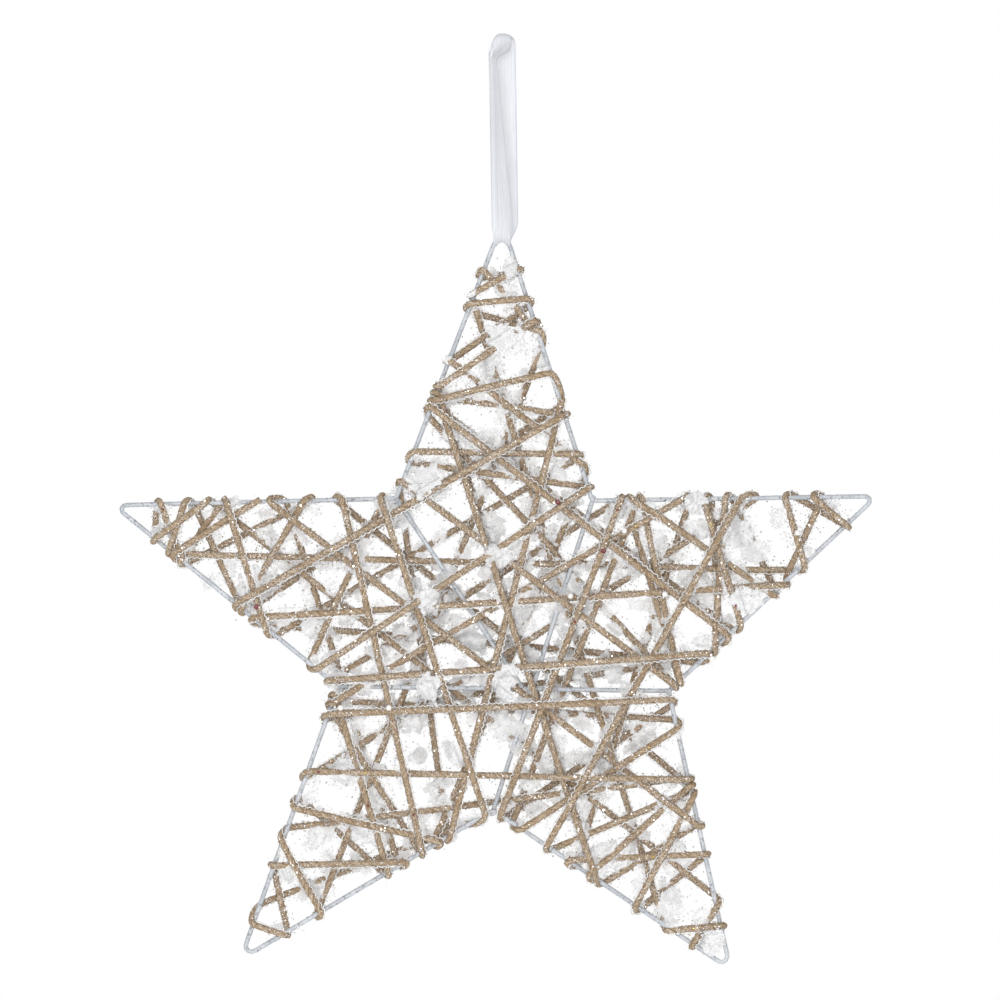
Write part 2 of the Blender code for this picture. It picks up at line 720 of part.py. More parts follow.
def ribbon():
    """The ribbon's loop, as one closed band of even thickness."""
    rings = ribbon_rings()
    mesh_builder = bmesh.new()
    bands = []
    for index, ring in enumerate(rings):
        after = rings[(index + 1) % len(rings)]
        before = rings[index - 1]
        outer, inner = [], []
        for lane, point in enumerate(ring):
            width = ring[min(lane + 1, RIBBON_LANES)] - ring[max(lane - 1, 0)]
            outward = unit(np.cross(after[lane] - before[lane], width))
            outer.append(mesh_builder.verts.new(point + outward * RIBBON_THICKNESS / 2))
            inner.append(mesh_builder.verts.new(point - outward * RIBBON_THICKNESS / 2))
        bands.append(outer + inner[::-1])
    for index, band in enumerate(bands):
        following = bands[(index + 1) % len(bands)]
        for corner in range(len(band)):
            beside = (corner + 1) % len(band)
            mesh_builder.faces.new((band[corner], band[beside], following[beside],
                                    following[corner]))
    return mesh_builder


def closest_twine(spot, path):
    """The point of each stretch of twine that is closest to a spot as seen from the front."""
    starts, travel = path[:-1], path[1:] - path[:-1]
    flat = travel[:, (0, 2)]
    length = np.maximum(np.sum(flat * flat, axis=1), LEAST_SQUARE)
    shares = np.sum((spot - starts[:, (0, 2)]) * flat, axis=1) / length
    points = starts + np.clip(shares, 0, 1)[:, None] * travel
    return points, np.linalg.norm(points[:, (0, 2)] - spot, axis=1)


def bead(spot, diameter, path):
    """A bead that rests on the nearest twine of the front face."""
    points, offsets = closest_twine(spot, path)
    closest = int(np.argmin(offsets + (points[:, 1] > -WIRE_RADIUS)))
    if offsets[closest] > BEAD_OFF_TWINE:
        aside = unit(spot - points[closest, (0, 2)])
        spot = points[closest, (0, 2)] + aside * BEAD_OFF_TWINE
        points, offsets = closest_twine(spot, path)
    reach = TWINE_RADIUS + 0.5 * diameter + JOIN_GAP
    under = offsets < reach
    depth = np.min(points[under, 1] - np.sqrt(reach ** 2 - offsets[under] ** 2))
    mesh_builder = bmesh.new()
    middle_point = Matrix.Translation(Vector(in_space(spot, depth)))
    bmesh.ops.create_icosphere(mesh_builder, subdivisions=2, radius=0.5 * diameter,
                               matrix=middle_point)
    return mesh_builder


def gap_to_wires(spot):
    """How far a point of the star's plane is from the outline and the braces."""
    stretches = list(zip(OUTLINE, OUTLINE[1:] + OUTLINE[:1]))
    stretches += [(start, end) for start, end, _ in BRACES.values()]
    gaps = []
    for start, end in stretches:
        along = end - start
        share = min(1.0, max(0.0, float((spot - start) @ along) / float(along @ along)))
        gaps.append(float(np.linalg.norm(start + share * along - spot)))
    return min(gaps)


def free_depths(spot, reach, path, faces):
    """Front and back limits of the space between the front and the back twine at a spot."""
    starts, ends = path[:-1], path[1:]
    _, offsets = closest_twine(spot, path)
    near = offsets < reach + TWINE_RADIUS + JOIN_GAP
    deepest = np.maximum(starts[:, 1], ends[:, 1])
    shallowest = np.minimum(starts[:, 1], ends[:, 1])
    clear = TWINE_RADIUS + JOIN_GAP
    front = np.max(deepest[near & (faces == 0)], initial=-SNOW_DEEPEST) + clear
    back = np.min(shallowest[near & (faces == 1)], initial=SNOW_DEEPEST) - clear
    return front, back


def room_for_snow(spot, wanted, path, faces, taken):
    """The largest reach up to the wanted one that a clump has at a spot, and its depths."""
    reach = min(wanted, gap_to_wires(spot) - WIRE_RADIUS - JOIN_GAP)
    for other, size, _, _ in taken:
        reach = min(reach, float(np.linalg.norm(other - spot)) - size - JOIN_GAP)
    front, back = free_depths(spot, reach, path, faces)
    while back - front < SNOW_LEAST_DEPTH and reach > SNOW_LEAST_REACH:
        reach *= SNOW_SHRINK
        front, back = free_depths(spot, reach, path, faces)
    return spot, reach, front, min(back, front + SNOW_THICKNESS)


def snow_clumps(path):
    """Clumps of snow lodged between the front and the back twine."""
    faces = np.where(path[:-1, 1] + path[1:, 1] < 0, 0, 1)
    taken = []
    for right, up, wanted in SNOW:
        spot = place(right, up)
        spots = [spot]
        for step in range(SNOW_NUDGES):
            angle = 2 * math.pi * step / SNOW_NUDGES
            spots.append(spot + SNOW_NUDGE * np.array((math.cos(angle), math.sin(angle))))
        rooms = [room_for_snow(spot, wanted, path, faces, taken) for spot in spots]
        best = max(rooms, key=lambda room: round(room[1], 4))
        if best[1] > SNOW_LEAST_REACH:
            taken.append(best)
    return taken


def snow_clump(spot, reach, front, back, number):
    """One clump: a flat lump with an uneven rim."""
    mesh_builder = bmesh.new()
    rims = []
    for depth in (front, back):
        rim = []
        for corner in range(SNOW_SIDES):
            angle = 2 * math.pi * corner / SNOW_SIDES
            uneven = 1 - SNOW_UNEVEN * (1 + math.sin(SNOW_LOBES * angle + number)) / 2
            offset = np.array((math.cos(angle), math.sin(angle))) * reach * uneven
            rim.append(mesh_builder.verts.new(in_space(spot + offset, depth)))
        rims.append(rim)
    for corner in range(SNOW_SIDES):
        beside = (corner + 1) % SNOW_SIDES
        mesh_builder.faces.new((rims[0][corner], rims[0][beside], rims[1][beside],
                                rims[1][corner]))
    mesh_builder.faces.new(rims[0])
    mesh_builder.faces.new(rims[1])
    return mesh_builder


def wire_stretches():
    """Every straight stretch of wire in space, as arrays of starts and ends."""
    points = [in_space(point) for point in OUTLINE]
    starts = points + [in_space(start, depth) for start, _, depth in BRACES.values()]
    ends = points[1:] + points[:1] + [in_space(end, depth) for _, end, depth in BRACES.values()]
    return np.array(starts), np.array(ends)


def build():
    remove_everything()
    wire_paint = material("painted_wire", (0.62, 0.66, 0.72), 0.45, 0.2)
    jute = material("jute_twine", (0.46, 0.34, 0.21), 0.9)
    organza = material("ribbon_organza", (0.86, 0.88, 0.93), 0.5)
    snow = material("snow", (0.88, 0.89, 0.91), 0.85)
    pearl = material("pearl", (0.82, 0.76, 0.66), 0.25)
    red = material("red_bead", (0.45, 0.06, 0.06), 0.3)

    outline = [in_space(point) for point in OUTLINE]
    add_object("star_outline_wire", sweep(outline, WIRE_RADIUS, WIRE_SIDES, closed=True), wire_paint)
    for name, (start, end, depth) in BRACES.items():
        ends = [in_space(start, depth), in_space(end, depth)]
        add_object(name, sweep(ends, WIRE_RADIUS, WIRE_SIDES), wire_paint)

    path = move_apart(twine_path(), wire_stretches())
    path = move_apart(fewer_points(path), wire_stretches())
    add_object("twine_winding", sweep(path, TWINE_RADIUS, TWINE_SIDES), jute)
    add_object("hanging_ribbon", ribbon(), organza)

    for number, (right, up) in enumerate(PEARLS, 1):
        add_object(f"pearl_bead_{number:02d}", bead(place(right, up), PEARL_DIAMETER, path), pearl)
    for number, (right, up) in enumerate(RED_BEADS, 1):
        add_object(f"red_bead_{number:02d}", bead(place(right, up), RED_BEAD_DIAMETER, path), red)
    for number, clump in enumerate(snow_clumps(path), 1):
        add_object(f"snow_clump_{number:02d}", snow_clump(*clump, number), snow, smooth=False)


SHARES = [np.array((right, up)) * STAR_SPAN for right, up, _ in CORNERS]
SHIFT = np.array((0.0, -RIBBON_DROP)) - middle(bend(SHARES, 0, TOP_TIP_BEND, TIP_ARC_STEPS))
CORNER_POINTS = [point + SHIFT for point in SHARES]
BENDS = outline_bends()
BRACES = brace_ends()
OUTLINE = [point for arc in BENDS for point in arc]

build()
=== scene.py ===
"""Looks of the hanging star: ropy twine, painted wire, crumbly snow, glitter and a sheer ribbon.

Metres, +Z up, the front faces -Y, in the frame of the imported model.
"""

import math

import bmesh
import bpy
import numpy as np
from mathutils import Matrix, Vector, noise


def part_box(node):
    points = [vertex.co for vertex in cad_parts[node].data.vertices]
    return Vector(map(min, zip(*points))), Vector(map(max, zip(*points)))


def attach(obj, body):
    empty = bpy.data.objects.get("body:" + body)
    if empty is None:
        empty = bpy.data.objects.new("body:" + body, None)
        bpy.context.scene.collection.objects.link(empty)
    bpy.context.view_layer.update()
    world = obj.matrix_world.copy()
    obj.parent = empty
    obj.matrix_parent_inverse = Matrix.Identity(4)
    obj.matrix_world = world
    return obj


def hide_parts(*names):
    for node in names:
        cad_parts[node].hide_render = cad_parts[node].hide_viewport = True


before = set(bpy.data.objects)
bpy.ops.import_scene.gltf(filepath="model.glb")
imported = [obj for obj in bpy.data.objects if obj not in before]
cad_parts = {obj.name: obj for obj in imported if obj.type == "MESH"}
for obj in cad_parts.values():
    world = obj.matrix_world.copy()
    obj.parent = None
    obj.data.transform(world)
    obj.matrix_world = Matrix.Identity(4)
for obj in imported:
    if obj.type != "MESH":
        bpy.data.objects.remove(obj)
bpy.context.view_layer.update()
SEED = 11

# Sizes of the real pieces, as the model has them
STAR_SPAN = 0.406
WIRE_DIAMETER = 0.0025
TWINE_DIAMETER = 0.0032
TWINE_RADIUS = TWINE_DIAMETER / 2
TWINE_CORNERS = 5
TIP_BEND = 0.0045
JOIN_GAP = 0.0003

# The height of the side tips, and the middle between them in the star's plane: right, up
TIPS_HEIGHT = -0.24798
PLANE_SHIFT = np.array((0.00065, TIPS_HEIGHT))

# Ribbon: its drop, how far its strands bow out, cup and ripple, and its fold
RIBBON_WIDTH = 0.012
RIBBON_THICKNESS = 0.0006
RIBBON_DROP = 0.1092
RIBBON_BOW = 0.0062
RIBBON_CUP = 0.0005
RIBBON_RIPPLE = 0.0004
RIBBON_FOLD_RADIUS = 0.003
RIBBON_ROWS = 64
RIBBON_LANES = 10
FOLD_ROWS = 10

# The front strand's left edge and the back strand's middle, how far right each drifts going
# up, and the share of the height over which they spread from the seat
FRONT_STRAND_EDGE = -0.0052
FRONT_STRAND_DRIFT = -0.0018
BACK_STRAND_MIDDLE = 0.003
BACK_STRAND_DRIFT = -0.0016
RIBBON_SPREADS_OVER = 0.12

# How far the front strand turns about its own length, at which share of the height, and how
# far the edges of the fold sag, over which share of the height
RIBBON_TWIST = math.radians(70)
RIBBON_TWISTS_AT = 0.9
RIBBON_LEFT_SAG = 0.0075
RIBBON_RIGHT_SAG = 0.0025
RIBBON_SAGS_OVER = 0.22

# Ribbon weave: distances between threads, and how far from the edge the selvedge begins
WARP_PITCH = 0.0003
WEFT_PITCH = 0.00034
SELVEDGE_BEGINS = 0.0009
SELVEDGE_FULL = 0.0005

# The photograph's frame: width and middle in the plane of the star, and the camera's distance
VIEW_WIDTH = 0.5321
VIEW_RIGHT = -0.00095
VIEW_UP = TIPS_HEIGHT
VIEW_DISTANCE = 2.2
SENSOR = 36.0

# Stage and light: strength of the world as light and in reflections; softboxes' places, sizes
# and watts
FLOOR_HEIGHT = -0.78
FLOOR_REACH = 1.9
FLOOR_GLOW = 0.3
AMBIENT = 0.34
GLINT = 1.5
SOFTBOXES = [
    ("front_softbox", (-0.1, -2.4, -0.1), 0.9, 30.5),
    ("back_softbox", (0.1, 2.4, -0.1), 0.9, 30.0),
    ("key_softbox", (-0.8, -1.9, 0.8), 1.0, 5.0),
]

# Twine: plies, length of one twist, depth of the creases, how much thicker its fluff makes it
# than the solid, how uneven it is and over what length, and how rough
PLIES = 3
PLY_PITCH = 0.0135
CREASE = 0.12
FLUFF = 1.17
TWINE_UNEVEN = 0.11
SWELL_LENGTH = 0.011
FRAY = 0.018
TWINE_SIDES = 12
TWINE_STEP = 0.00125
BEND_SOFTNESS = 0.0011

# Where it goes round the outside of the wire: which share of its distance from the outline it
# is drawn in, and how much thinner it is pressed
PULLED_IN = 0.34
PRESSED = 0.15

# Wire: its tube, softness of its bends, lumps in its paint, and how far a brace reaches into
# the weld nugget at each end
WIRE_SIDES = 12
WIRE_STEP = 0.0018
WIRE_SOFTNESS = 0.0005
PAINT_LUMPS = 0.00007
WELD_REACH = 0.0013
WELD_RADIUS = 0.56 * WIRE_DIAMETER

# Films of snow: cells, thickness, how ragged the rims are, and how full a film is where it
# ends, with 1 in its middle
SNOW_CELL = 0.00072
SNOW_HALF_THICKNESS = 0.0006
SNOW_RAGGED = 0.62
SNOW_RIM = -0.12

# Depth of a film: how far off it looks for strands, how tightly it follows the nearest, how far
# in front of them a covering film lies, in twine diameters, and how uneven that is
SNOW_LOOKS = 0.012
SNOW_PULL = 0.0016
SNOW_LIFT = 0.62
SNOW_HUMMOCKS = 0.35

# How far past the outline patches and webs fade out, and their grains for each square metre
SNOW_SPILL = 0.005
WEB_SPILL = 0.0012
GRAINS_PER_AREA = 1.15e6

# Grains of snow on the films and about the twine
GRAIN_SIZES = (0.00026, 0.00062)

# Thin webs of snow that cling to the twine between the larger patches
WEBS = 460
WEB_REACH = (6, 13)
WEB_COVER = (0.0, 0.25)
WEB_SPACING = 0.0042
WEB_OFFSETS = (0.001, 0.004)

# Frost, glitter and loose hairs along the twine, with their heights over its skin
FROST_PER_METRE = 1300
FROST_LIFT = 0.00004
FROST_SIZES = (0.00024, 0.00062)
GLITTER_PER_METRE = 760
GLITTER_LIFT = 0.00025
GLITTER_SIZES = (0.00026, 0.00056)
HAIRS_PER_METRE = 170
HAIR_LIFT = -0.0001
HAIR_LENGTHS = (0.0012, 0.0046)
HAIR_RADIUS = 0.00005
HAIR_FROST_SIZES = (0.00014, 0.00034)

# Crumbs about the twine, some close and some further out, flattened towards the star's plane
# so that none floats in front of it or behind it
HALO_PER_METRE = 6800
HALO_REACH = 0.0022
HALO_CLOSE_REACH = 0.0007
HALO_CLOSE_SHARE = 0.5
HALO_SPILL = 0.0012
HALO_FLATNESS = 0.25

# The thin crinkled thread: size, crinkles, how far it strays from the twine, the lengths over
# which it wanders and its crinkles swell, and the points over which it changes sides
THREAD_DIAMETER = 0.00075
THREAD_SIDES = 3
THREAD_STEP = 0.0007
CRINKLE_LENGTH = 0.0032
CRINKLE_DEPTH = 0.00044
THREAD_STRAY = 0.0006
WANDER_LENGTH = 0.021
PULSE_LENGTH = 0.006
THREAD_PASSES_OVER = 16

# Beads: rings and sides, threading holes, and the two kinds that the solids leave out
BEAD_RINGS = 12
BEAD_SIDES = 20
PEARL_HOLE = 0.00038
RED_HOLE = 0.00034
GOLD_FLECK_SIZE = 0.0014
TINY_RED_SIZE = 0.0015

# The side of the twine on which the thread shows on some of the front runs, as a direction in
# the picture, right and up, with the numbers of its runs
THREAD_SHOWS = {
    (0, 1): (34, 40, 46, 58, 84), (0, -1): (8, 20, 62, 64, 72), (1, 1): (4,),
    (1, 0): (0, 16, 36, 50, 70, 82, 88), (-1, 0): (28, 30, 60),
}

# Where snow lies, seen from the front: thousandths of the span right of the middle and above
# the side tips, reach in thousandths, and how far it covers the front twine, from 0 to 10
SNOW = [
    (10, 307, 12, 9), (4, 276, 13, 2), (4, 211, 21, 10), (48, 186, 11, 2), (-21, 176, 13, 2),
    (-66, 89, 13, 3), (-45, 76, 17, 3), (-100, 27, 20, 10), (-83, 10, 13, 2), (10, 48, 16, 2),
    (72, 34, 11, 3), (-135, -21, 16, 3), (-148, 14, 13, 3), (-14, -34, 18, 3), (41, -14, 11, 2),
    (18, -60, 11, 3), (-8, -75, 16, 9), (-111, -71, 12, 2), (-101, -131, 18, 9),
    (-143, -22, 10, 2), (81, -113, 20, 2), (20, -139, 17, 3), (75, -145, 17, 2),
    (115, -135, 10, 3), (-48, -177, 21, 3), (-134, -172, 12, 2), (-98, -245, 18, 10),
    (3, -232, 17, 10), (0, -249, 12, 10), (-114, -292, 14, 2), (-208, -356, 20, 3),
    (-221, -241, 17, 3), (10, -303, 21, 3), (-59, -334, 16, 3), (-77, -370, 11, 2),
    (-110, -336, 11, 2), (105, -228, 11, 3), (145, -227, 13, 3), (126, -339, 18, 3),
    (56, -347, 11, 2), (84, -341, 11, 3), (134, -354, 11, 2), (31, -372, 11, 2), (252, 9, 19, 10),
    (305, -45, 20, 3), (329, -68, 16, 2), (359, -24, 11, 2), (260, -39, 11, 3), (201, -55, 13, 2),
    (161, -7, 13, 2), (318, -132, 18, 9), (177, -132, 11, 3), (262, -186, 11, 3),
    (134, -210, 11, 2), (-388, -114, 10, 3), (-350, 4, 9, 3), (-358, -88, 12, 2),
    (-321, -106, 20, 3), (-301, -52, 12, 2), (-193, -71, 18, 3), (-232, -80, 16, 2),
    (-249, -165, 14, 3), (-168, -199, 11, 2), (-240, -440, 17, 2), (-180, -435, 16, 3),
    (-262, -566, 12, 10), (-283, -490, 12, 2), (-63, -444, 10, 3), (131, -464, 18, 3),
    (228, -457, 12, 2), (218, -531, 18, 3), (275, -578, 16, 9), (233, -301, 10, 3),
    (211, -397, 10, 2), (184, -439, 10, 2), (97, -336, 10, 2), (-5, -279, 12, 3), (-47, 267, 9, 9),
    (-76, 184, 8, 9), (-351, 0, 8, 3),
]

# Corners of the star's outline, clockwise from the top tip, placed like the snow
CORNERS = [(-1, 364), (117, -1), (490, 5), (217, -250), (298, -615), (-13, -406), (-344, -602),
           (-216, -244), (-510, -7), (-140, 2)]

# Small beads that the solids leave out, placed like the snow
GOLD_FLECKS = [(170, -25), (178, -304), (-180, -349), (198, -468), (249, -561), (278, -30)]
TINY_REDS = [(134, -68), (142, -9), (-456, -14), (101, -161), (-182, -401), (-134, -414),
             (275, -51), (315, -134), (-242, -364)]

BLACK = (0.0, 0.0, 0.0, 1.0)
WHITE = (1.0, 1.0, 1.0, 1.0)

random = np.random.default_rng(SEED)


def unit(vectors):
    """Vectors of length one; works on one vector or on rows of them."""
    return vectors / np.maximum(np.linalg.norm(vectors, axis=-1, keepdims=True), 1e-12)


# Meshes and pieces

def mesh_of(name, points, faces, smooth=True):
    mesh = bpy.data.meshes.new(name)
    mesh.vertices.add(len(points))
    mesh.vertices.foreach_set("co", np.asarray(points, np.float32).ravel())
    mesh.loops.add(faces.size)
    mesh.loops.foreach_set("vertex_index", faces.astype(np.int32).ravel())
    mesh.polygons.add(len(faces))
    starts = np.arange(0, faces.size, faces.shape[1], dtype=np.int32)
    mesh.polygons.foreach_set("loop_start", starts)
    mesh.update(calc_edges=True)
    if smooth:
        mesh.shade_smooth()
    return mesh


def store(mesh, name, values):
    """Keeps a value or a vector for each vertex, for the material to read."""
    wide = np.ndim(values) > 1
    attribute = mesh.attributes.new(name, "FLOAT_VECTOR" if wide else "FLOAT", "POINT")
    values = np.asarray(values, np.float32).ravel()
    attribute.data.foreach_set("vector" if wide else "value", values)


def added(name, data):
    """A new object in the scene."""
    item = bpy.data.objects.new(name, data)
    bpy.context.scene.collection.objects.link(item)
    return item


def add_piece(name, shape, surface, slot, replaced=(), smooth=True, **stored):
    """A piece from its points and faces, and what its material reads at each point."""
    mesh = mesh_of(name, *shape, smooth)
    for key, values in stored.items():
        store(mesh, key, values)
    mesh.materials.append(surface)
    piece = added(name, mesh)
    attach(piece, "root")
    if replaced:
        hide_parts(*replaced)
    return piece


def nodes_named(start):
    return sorted(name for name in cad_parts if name.startswith(start))


def place(right, up):
    """A point of the star's plane, from thousandths of the span."""
    return np.array((right, up)) * STAR_SPAN / 1000 + PLANE_SHIFT


def in_space(flat, depth):
    """Points from their places in the star's plane and their depths."""
    return np.column_stack((flat[:, 0], depth, flat[:, 1]))


def rough(points, scale=1):
    """Smooth noise between about -1 and 1 at each point."""
    return np.array([noise.noise(Vector(point) * scale) for point in points])


def outside(spots):
    """How far each spot of the star's plane lies outside its outline."""
    starts = np.array([place(*corner) for corner in CORNERS])
    ends = np.roll(starts, -1, axis=0)
    travel = ends - starts
    gap = spots[:, None, :] - starts[None]
    share = np.clip(np.sum(gap * travel, axis=2) / np.sum(travel * travel, axis=1), 0, 1)
    least = np.linalg.norm(gap - share[..., None] * travel, axis=2).min(axis=1)
    across = (starts[None, :, 1] > spots[:, None, 1]) != (ends[None, :, 1] > spots[:, None, 1])
    level = (spots[:, None, 1] - starts[:, 1]) / travel[:, 1]
    crossed = across & (spots[:, None, 0] < starts[:, 0] + level * travel[:, 0])
    inside = np.sum(crossed, axis=1) % 2 == 1
    return np.where(inside, 0.0, least)


# Centre lines of the model's wires and twine. Points closer than this are one.

ONE_POINT = 1e-5


def merged(node):
    shape = bmesh.new()
    shape.from_mesh(node.data)
    bmesh.ops.remove_doubles(shape, verts=shape.verts, dist=ONE_POINT)
    return shape


def front_line(name):
    """Centre line of a wire node, from the row of vertices along its front."""
    shape = merged(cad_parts[name])
    front = min(vertex.co.y for vertex in shape.verts)
    row = [vertex for vertex in shape.verts if vertex.co.y < front + ONE_POINT]
    chain, onward = [], row
    while onward:
        chain.append(onward[0])
        linked = [edge.other_vert(chain[-1]) for edge in chain[-1].link_edges]
        onward = [vertex for vertex in linked if vertex in row and vertex not in chain]
    points = np.array([vertex.co for vertex in chain])
    points[:, 1] += WIRE_DIAMETER / 2
    shape.free()
    return points


def levels(starts):
    """Vertices in rows, by how many edges they are from the starts."""
    seen = set(starts)
    rows = [list(starts)]
    while rows[-1]:
        linked = [edge.other_vert(vertex) for vertex in rows[-1] for edge in vertex.link_edges]
        rows.append(list(dict.fromkeys(vertex for vertex in linked if vertex not in seen)))
        seen.update(rows[-1])
    return rows[:-1]


def twine_line():
    """Centre line of the twine node: the middles of the rings of vertices along it."""
    shape = merged(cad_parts["twine_winding"])
    shape.verts.ensure_lookup_table()
    end = levels([shape.verts[0]])[-1][0]
    close = [vertex for row in levels([end])[:3] for vertex in row]
    cap = [vertex for vertex in close if (vertex.co - end.co).length < 1.02 * TWINE_DIAMETER]
    rings = levels(cap)
    if any(len(ring) != TWINE_CORNERS for ring in rings):
        raise ValueError("the twine node isn't a plain tube")
    line = np.array([np.mean([vertex.co for vertex in ring], axis=0) for ring in rings])
    shape.free()
    return line


def distances(line):
    """How far along a line each of its points lies."""
    return np.concatenate(([0.0], np.cumsum(np.linalg.norm(np.diff(line, axis=0), axis=1))))


def respaced(line, step):
    """A line with its points at even steps, and its length."""
    along = distances(line)
    places = np.linspace(0, along[-1], max(2, int(round(along[-1] / step))) + 1)
    points = [np.interp(places, along, line[:, axis]) for axis in range(3)]
    return np.stack(points, axis=1), along[-1]


def averaged(rows, reach, width, **padding):
    """Rows averaged with their neighbours, with a padding beyond both ends."""
    padded = np.pad(rows, ((reach, reach), (0, 0)), **padding)
    weights = np.exp(-0.5 * (np.arange(-reach, reach + 1) / width) ** 2)
    weights /= weights.sum()
    return sum(weight * padded[index:index + len(rows)] for index, weight in enumerate(weights))


def softened(line, step, softness, closed=False):
    """A line with even steps and rounded bends, and its length."""
    if closed:
        line = np.vstack((line, line[:1]))
    points, _ = respaced(line, softness / 2)
    if closed:
        smooth = averaged(points[:-1], 8, 2.0, mode="wrap")
        smooth = np.vstack((smooth, smooth[:1]))
    else:
        smooth = averaged(points, 8, 2.0, mode="reflect", reflect_type="odd")
    even, length = respaced(smooth, step)
    return (even[:-1] if closed else even), length


def pulled_in(line):
    """The twine's centre line, drawn in a little where it goes round the outside of the wire."""
    flat = line[:, (0, 2)]
    away = outside(flat)
    drawn = line.copy()
    for axis, step in ((0, (1e-5, 0.0)), (2, (0.0, 1e-5))):
        drawn[:, axis] -= PULLED_IN * away * (outside(flat + step) - away) / max(step)
    return drawn


# Shapes

def directions(line, closed=False):
    """Unit tangents of a line and two directions square to them, turned as little as can be."""
    if closed:
        tangents = unit(np.roll(line, -1, axis=0) - np.roll(line, 1, axis=0))
    else:
        tangents = unit(np.gradient(line, axis=0))
    side = unit(np.cross(tangents[0], (0.0, 1.0, 0.0)))
    sides = np.empty_like(line)
    for index, tangent in enumerate(tangents):
        side = side - tangent * (side @ tangent)
        side /= math.sqrt(side @ side)
        sides[index] = side
    return tangents, sides, np.cross(tangents, sides)


def towards(first, second, angles):
    """Directions at some angles from the first, on the way to the second square to it."""
    return np.cos(angles)[..., None] * first + np.sin(angles)[..., None] * second


def squares(rows, columns, rows_close, columns_close):
    """Four-sided faces between rows of points, which may close on themselves either way."""
    row = np.arange(rows if rows_close else rows - 1)[:, None]
    column = np.arange(columns if columns_close else columns - 1)[None, :]
    after = (row + 1) % rows * columns
    beside = (column + 1) % columns
    row = row * columns
    corners = (row + column, row + beside, after + beside, after + column)
    return np.stack(corners, axis=-1).reshape(-1, 4)


def halved(faces):
    """Each four-sided face as two triangles."""
    return np.vstack((faces[:, (0, 1, 2)], faces[:, (0, 2, 3)]))


def fan(corners):
    """A face with many corners as triangles."""
    return np.array([(0, corner, corner + 1) for corner in range(1, corners - 1)])


def repeated(points, faces):
    """Many like shapes as one, from the points of each and the faces of the first."""
    count, corners = points.shape[:2]
    faces = faces[None] + corners * np.arange(count)[:, None, None]
    return points.reshape(-1, 3), faces.reshape(-1, 3)


def ball(radius, subdivisions):
    shape = bmesh.new()
    bmesh.ops.create_icosphere(shape, subdivisions=subdivisions, radius=radius)
    points = np.array([vertex.co for vertex in shape.verts])
    faces = np.array([[vertex.index for vertex in face.verts] for face in shape.faces])
    shape.free()
    return points, faces


def tube(line, radii, angles, closed=False):
    """Points and faces of a tube. Radii and angles have a row for each ring."""
    _, sides, others = directions(line, closed)
    rings, corners = angles.shape
    points = line[:, None] + radii[:, :, None] * towards(sides[:, None], others[:, None], angles)
    faces = [halved(squares(rings, corners, closed, True))]
    if not closed:
        faces += [fan(corners)[:, (0, 2, 1)], fan(corners) + (rings - 1) * corners]
    return points.reshape(-1, 3), np.vstack(faces)


def plain_tube(line, radius, sides, closed=False):
    angles = np.tile(2 * math.pi * np.arange(sides) / sides, (len(line), 1))
    return tube(line, np.full(angles.shape, radius), angles, closed)


def joined(shapes):
    """Several lists of points and faces as one."""
    starts = np.cumsum([0] + [len(points) for points, _ in shapes])
    faces = [some + start for (_, some), start in zip(shapes, starts)]
    return np.vstack([points for points, _ in shapes]), np.vstack(faces)


# Twine

def rope(line, start):
    """Twisted plies round a line that starts so far along the twine, and what is stored."""
    along = start + distances(line)
    ply = 2 * math.pi * np.arange(TWINE_SIDES) / TWINE_SIDES
    crease = 1 - np.abs(np.cos(0.5 * PLIES * ply))
    swell = rough(np.outer(along, (0, 0, 1 / SWELL_LENGTH)))
    fray = random.normal(0, FRAY, (len(line), TWINE_SIDES))
    uneven = FLUFF + TWINE_UNEVEN * swell[:, None] + fray
    pressed = 1 - PRESSED * np.clip(outside(line[:, (0, 2)]) / WIRE_DIAMETER, 0, 1)
    radii = TWINE_RADIUS * (1 - CREASE * crease[None, :]) * uneven * pressed[:, None]
    angles = ply[None, :] + (2 * math.pi * along / PLY_PITCH)[:, None]
    places = (TWINE_RADIUS * np.cos(ply), TWINE_RADIUS * np.sin(ply), along[:, None])
    fibre = np.stack(np.broadcast_arrays(*places), axis=-1).reshape(-1, 3)
    stored = {"fibre": fibre, "crease": np.tile(crease, len(line))}
    return tube(line, radii, angles), stored


def make_twine(surface):
    half = len(TWINE) // 2
    middle = half * TWINE_LENGTH / (len(TWINE) - 1)
    for number, line, start in ((1, TWINE[:half + 1], 0.0), (2, TWINE[half:], middle)):
        shape, stored = rope(line, start)
        add_piece(f"twine_length_{number}", shape, surface, "twine", ["twine_winding"], **stored)


# Snow, frost, glitter and loose hairs

# Corners and faces of a grain, and how little and how much each corner is stretched
CRYSTAL = (
    np.array([(1, 0, 0), (-1, 0, 0), (0, 1, 0), (0, -1, 0), (0, 0, 1), (0, 0, -1)]),
    np.array([(0, 2, 4), (2, 1, 4), (1, 3, 4), (3, 0, 4),
              (2, 0, 5), (1, 2, 5), (3, 1, 5), (0, 3, 5)]),
    0.55, 1.35,
)
SPECK = (
    np.array([(1, 1, 1), (1, -1, -1), (-1, 1, -1), (-1, -1, 1)]) / math.sqrt(3),
    np.array([(0, 1, 2), (0, 3, 1), (0, 2, 3), (1, 3, 2)]),
    0.6, 1.5,
)


def turned(shapes):
    """Each row of points turned its own random way."""
    axes = random.normal(size=(len(shapes), 2, 3))
    first = unit(axes[:, 0])
    second = unit(axes[:, 1] - first * np.sum(axes[:, 1] * first, axis=1)[:, None])
    return shapes @ np.stack((first, second, np.cross(first, second)), axis=1)


def grains(kind, centres, sizes):
    """Grains of one kind, each stretched and turned its own way."""
    corners, faces, least, most = kind
    stretch = random.uniform(least, most, (len(centres), len(corners), 1))
    shapes = turned(corners[None] * sizes[:, None, None] * stretch)
    return repeated(shapes + centres[:, None], faces)


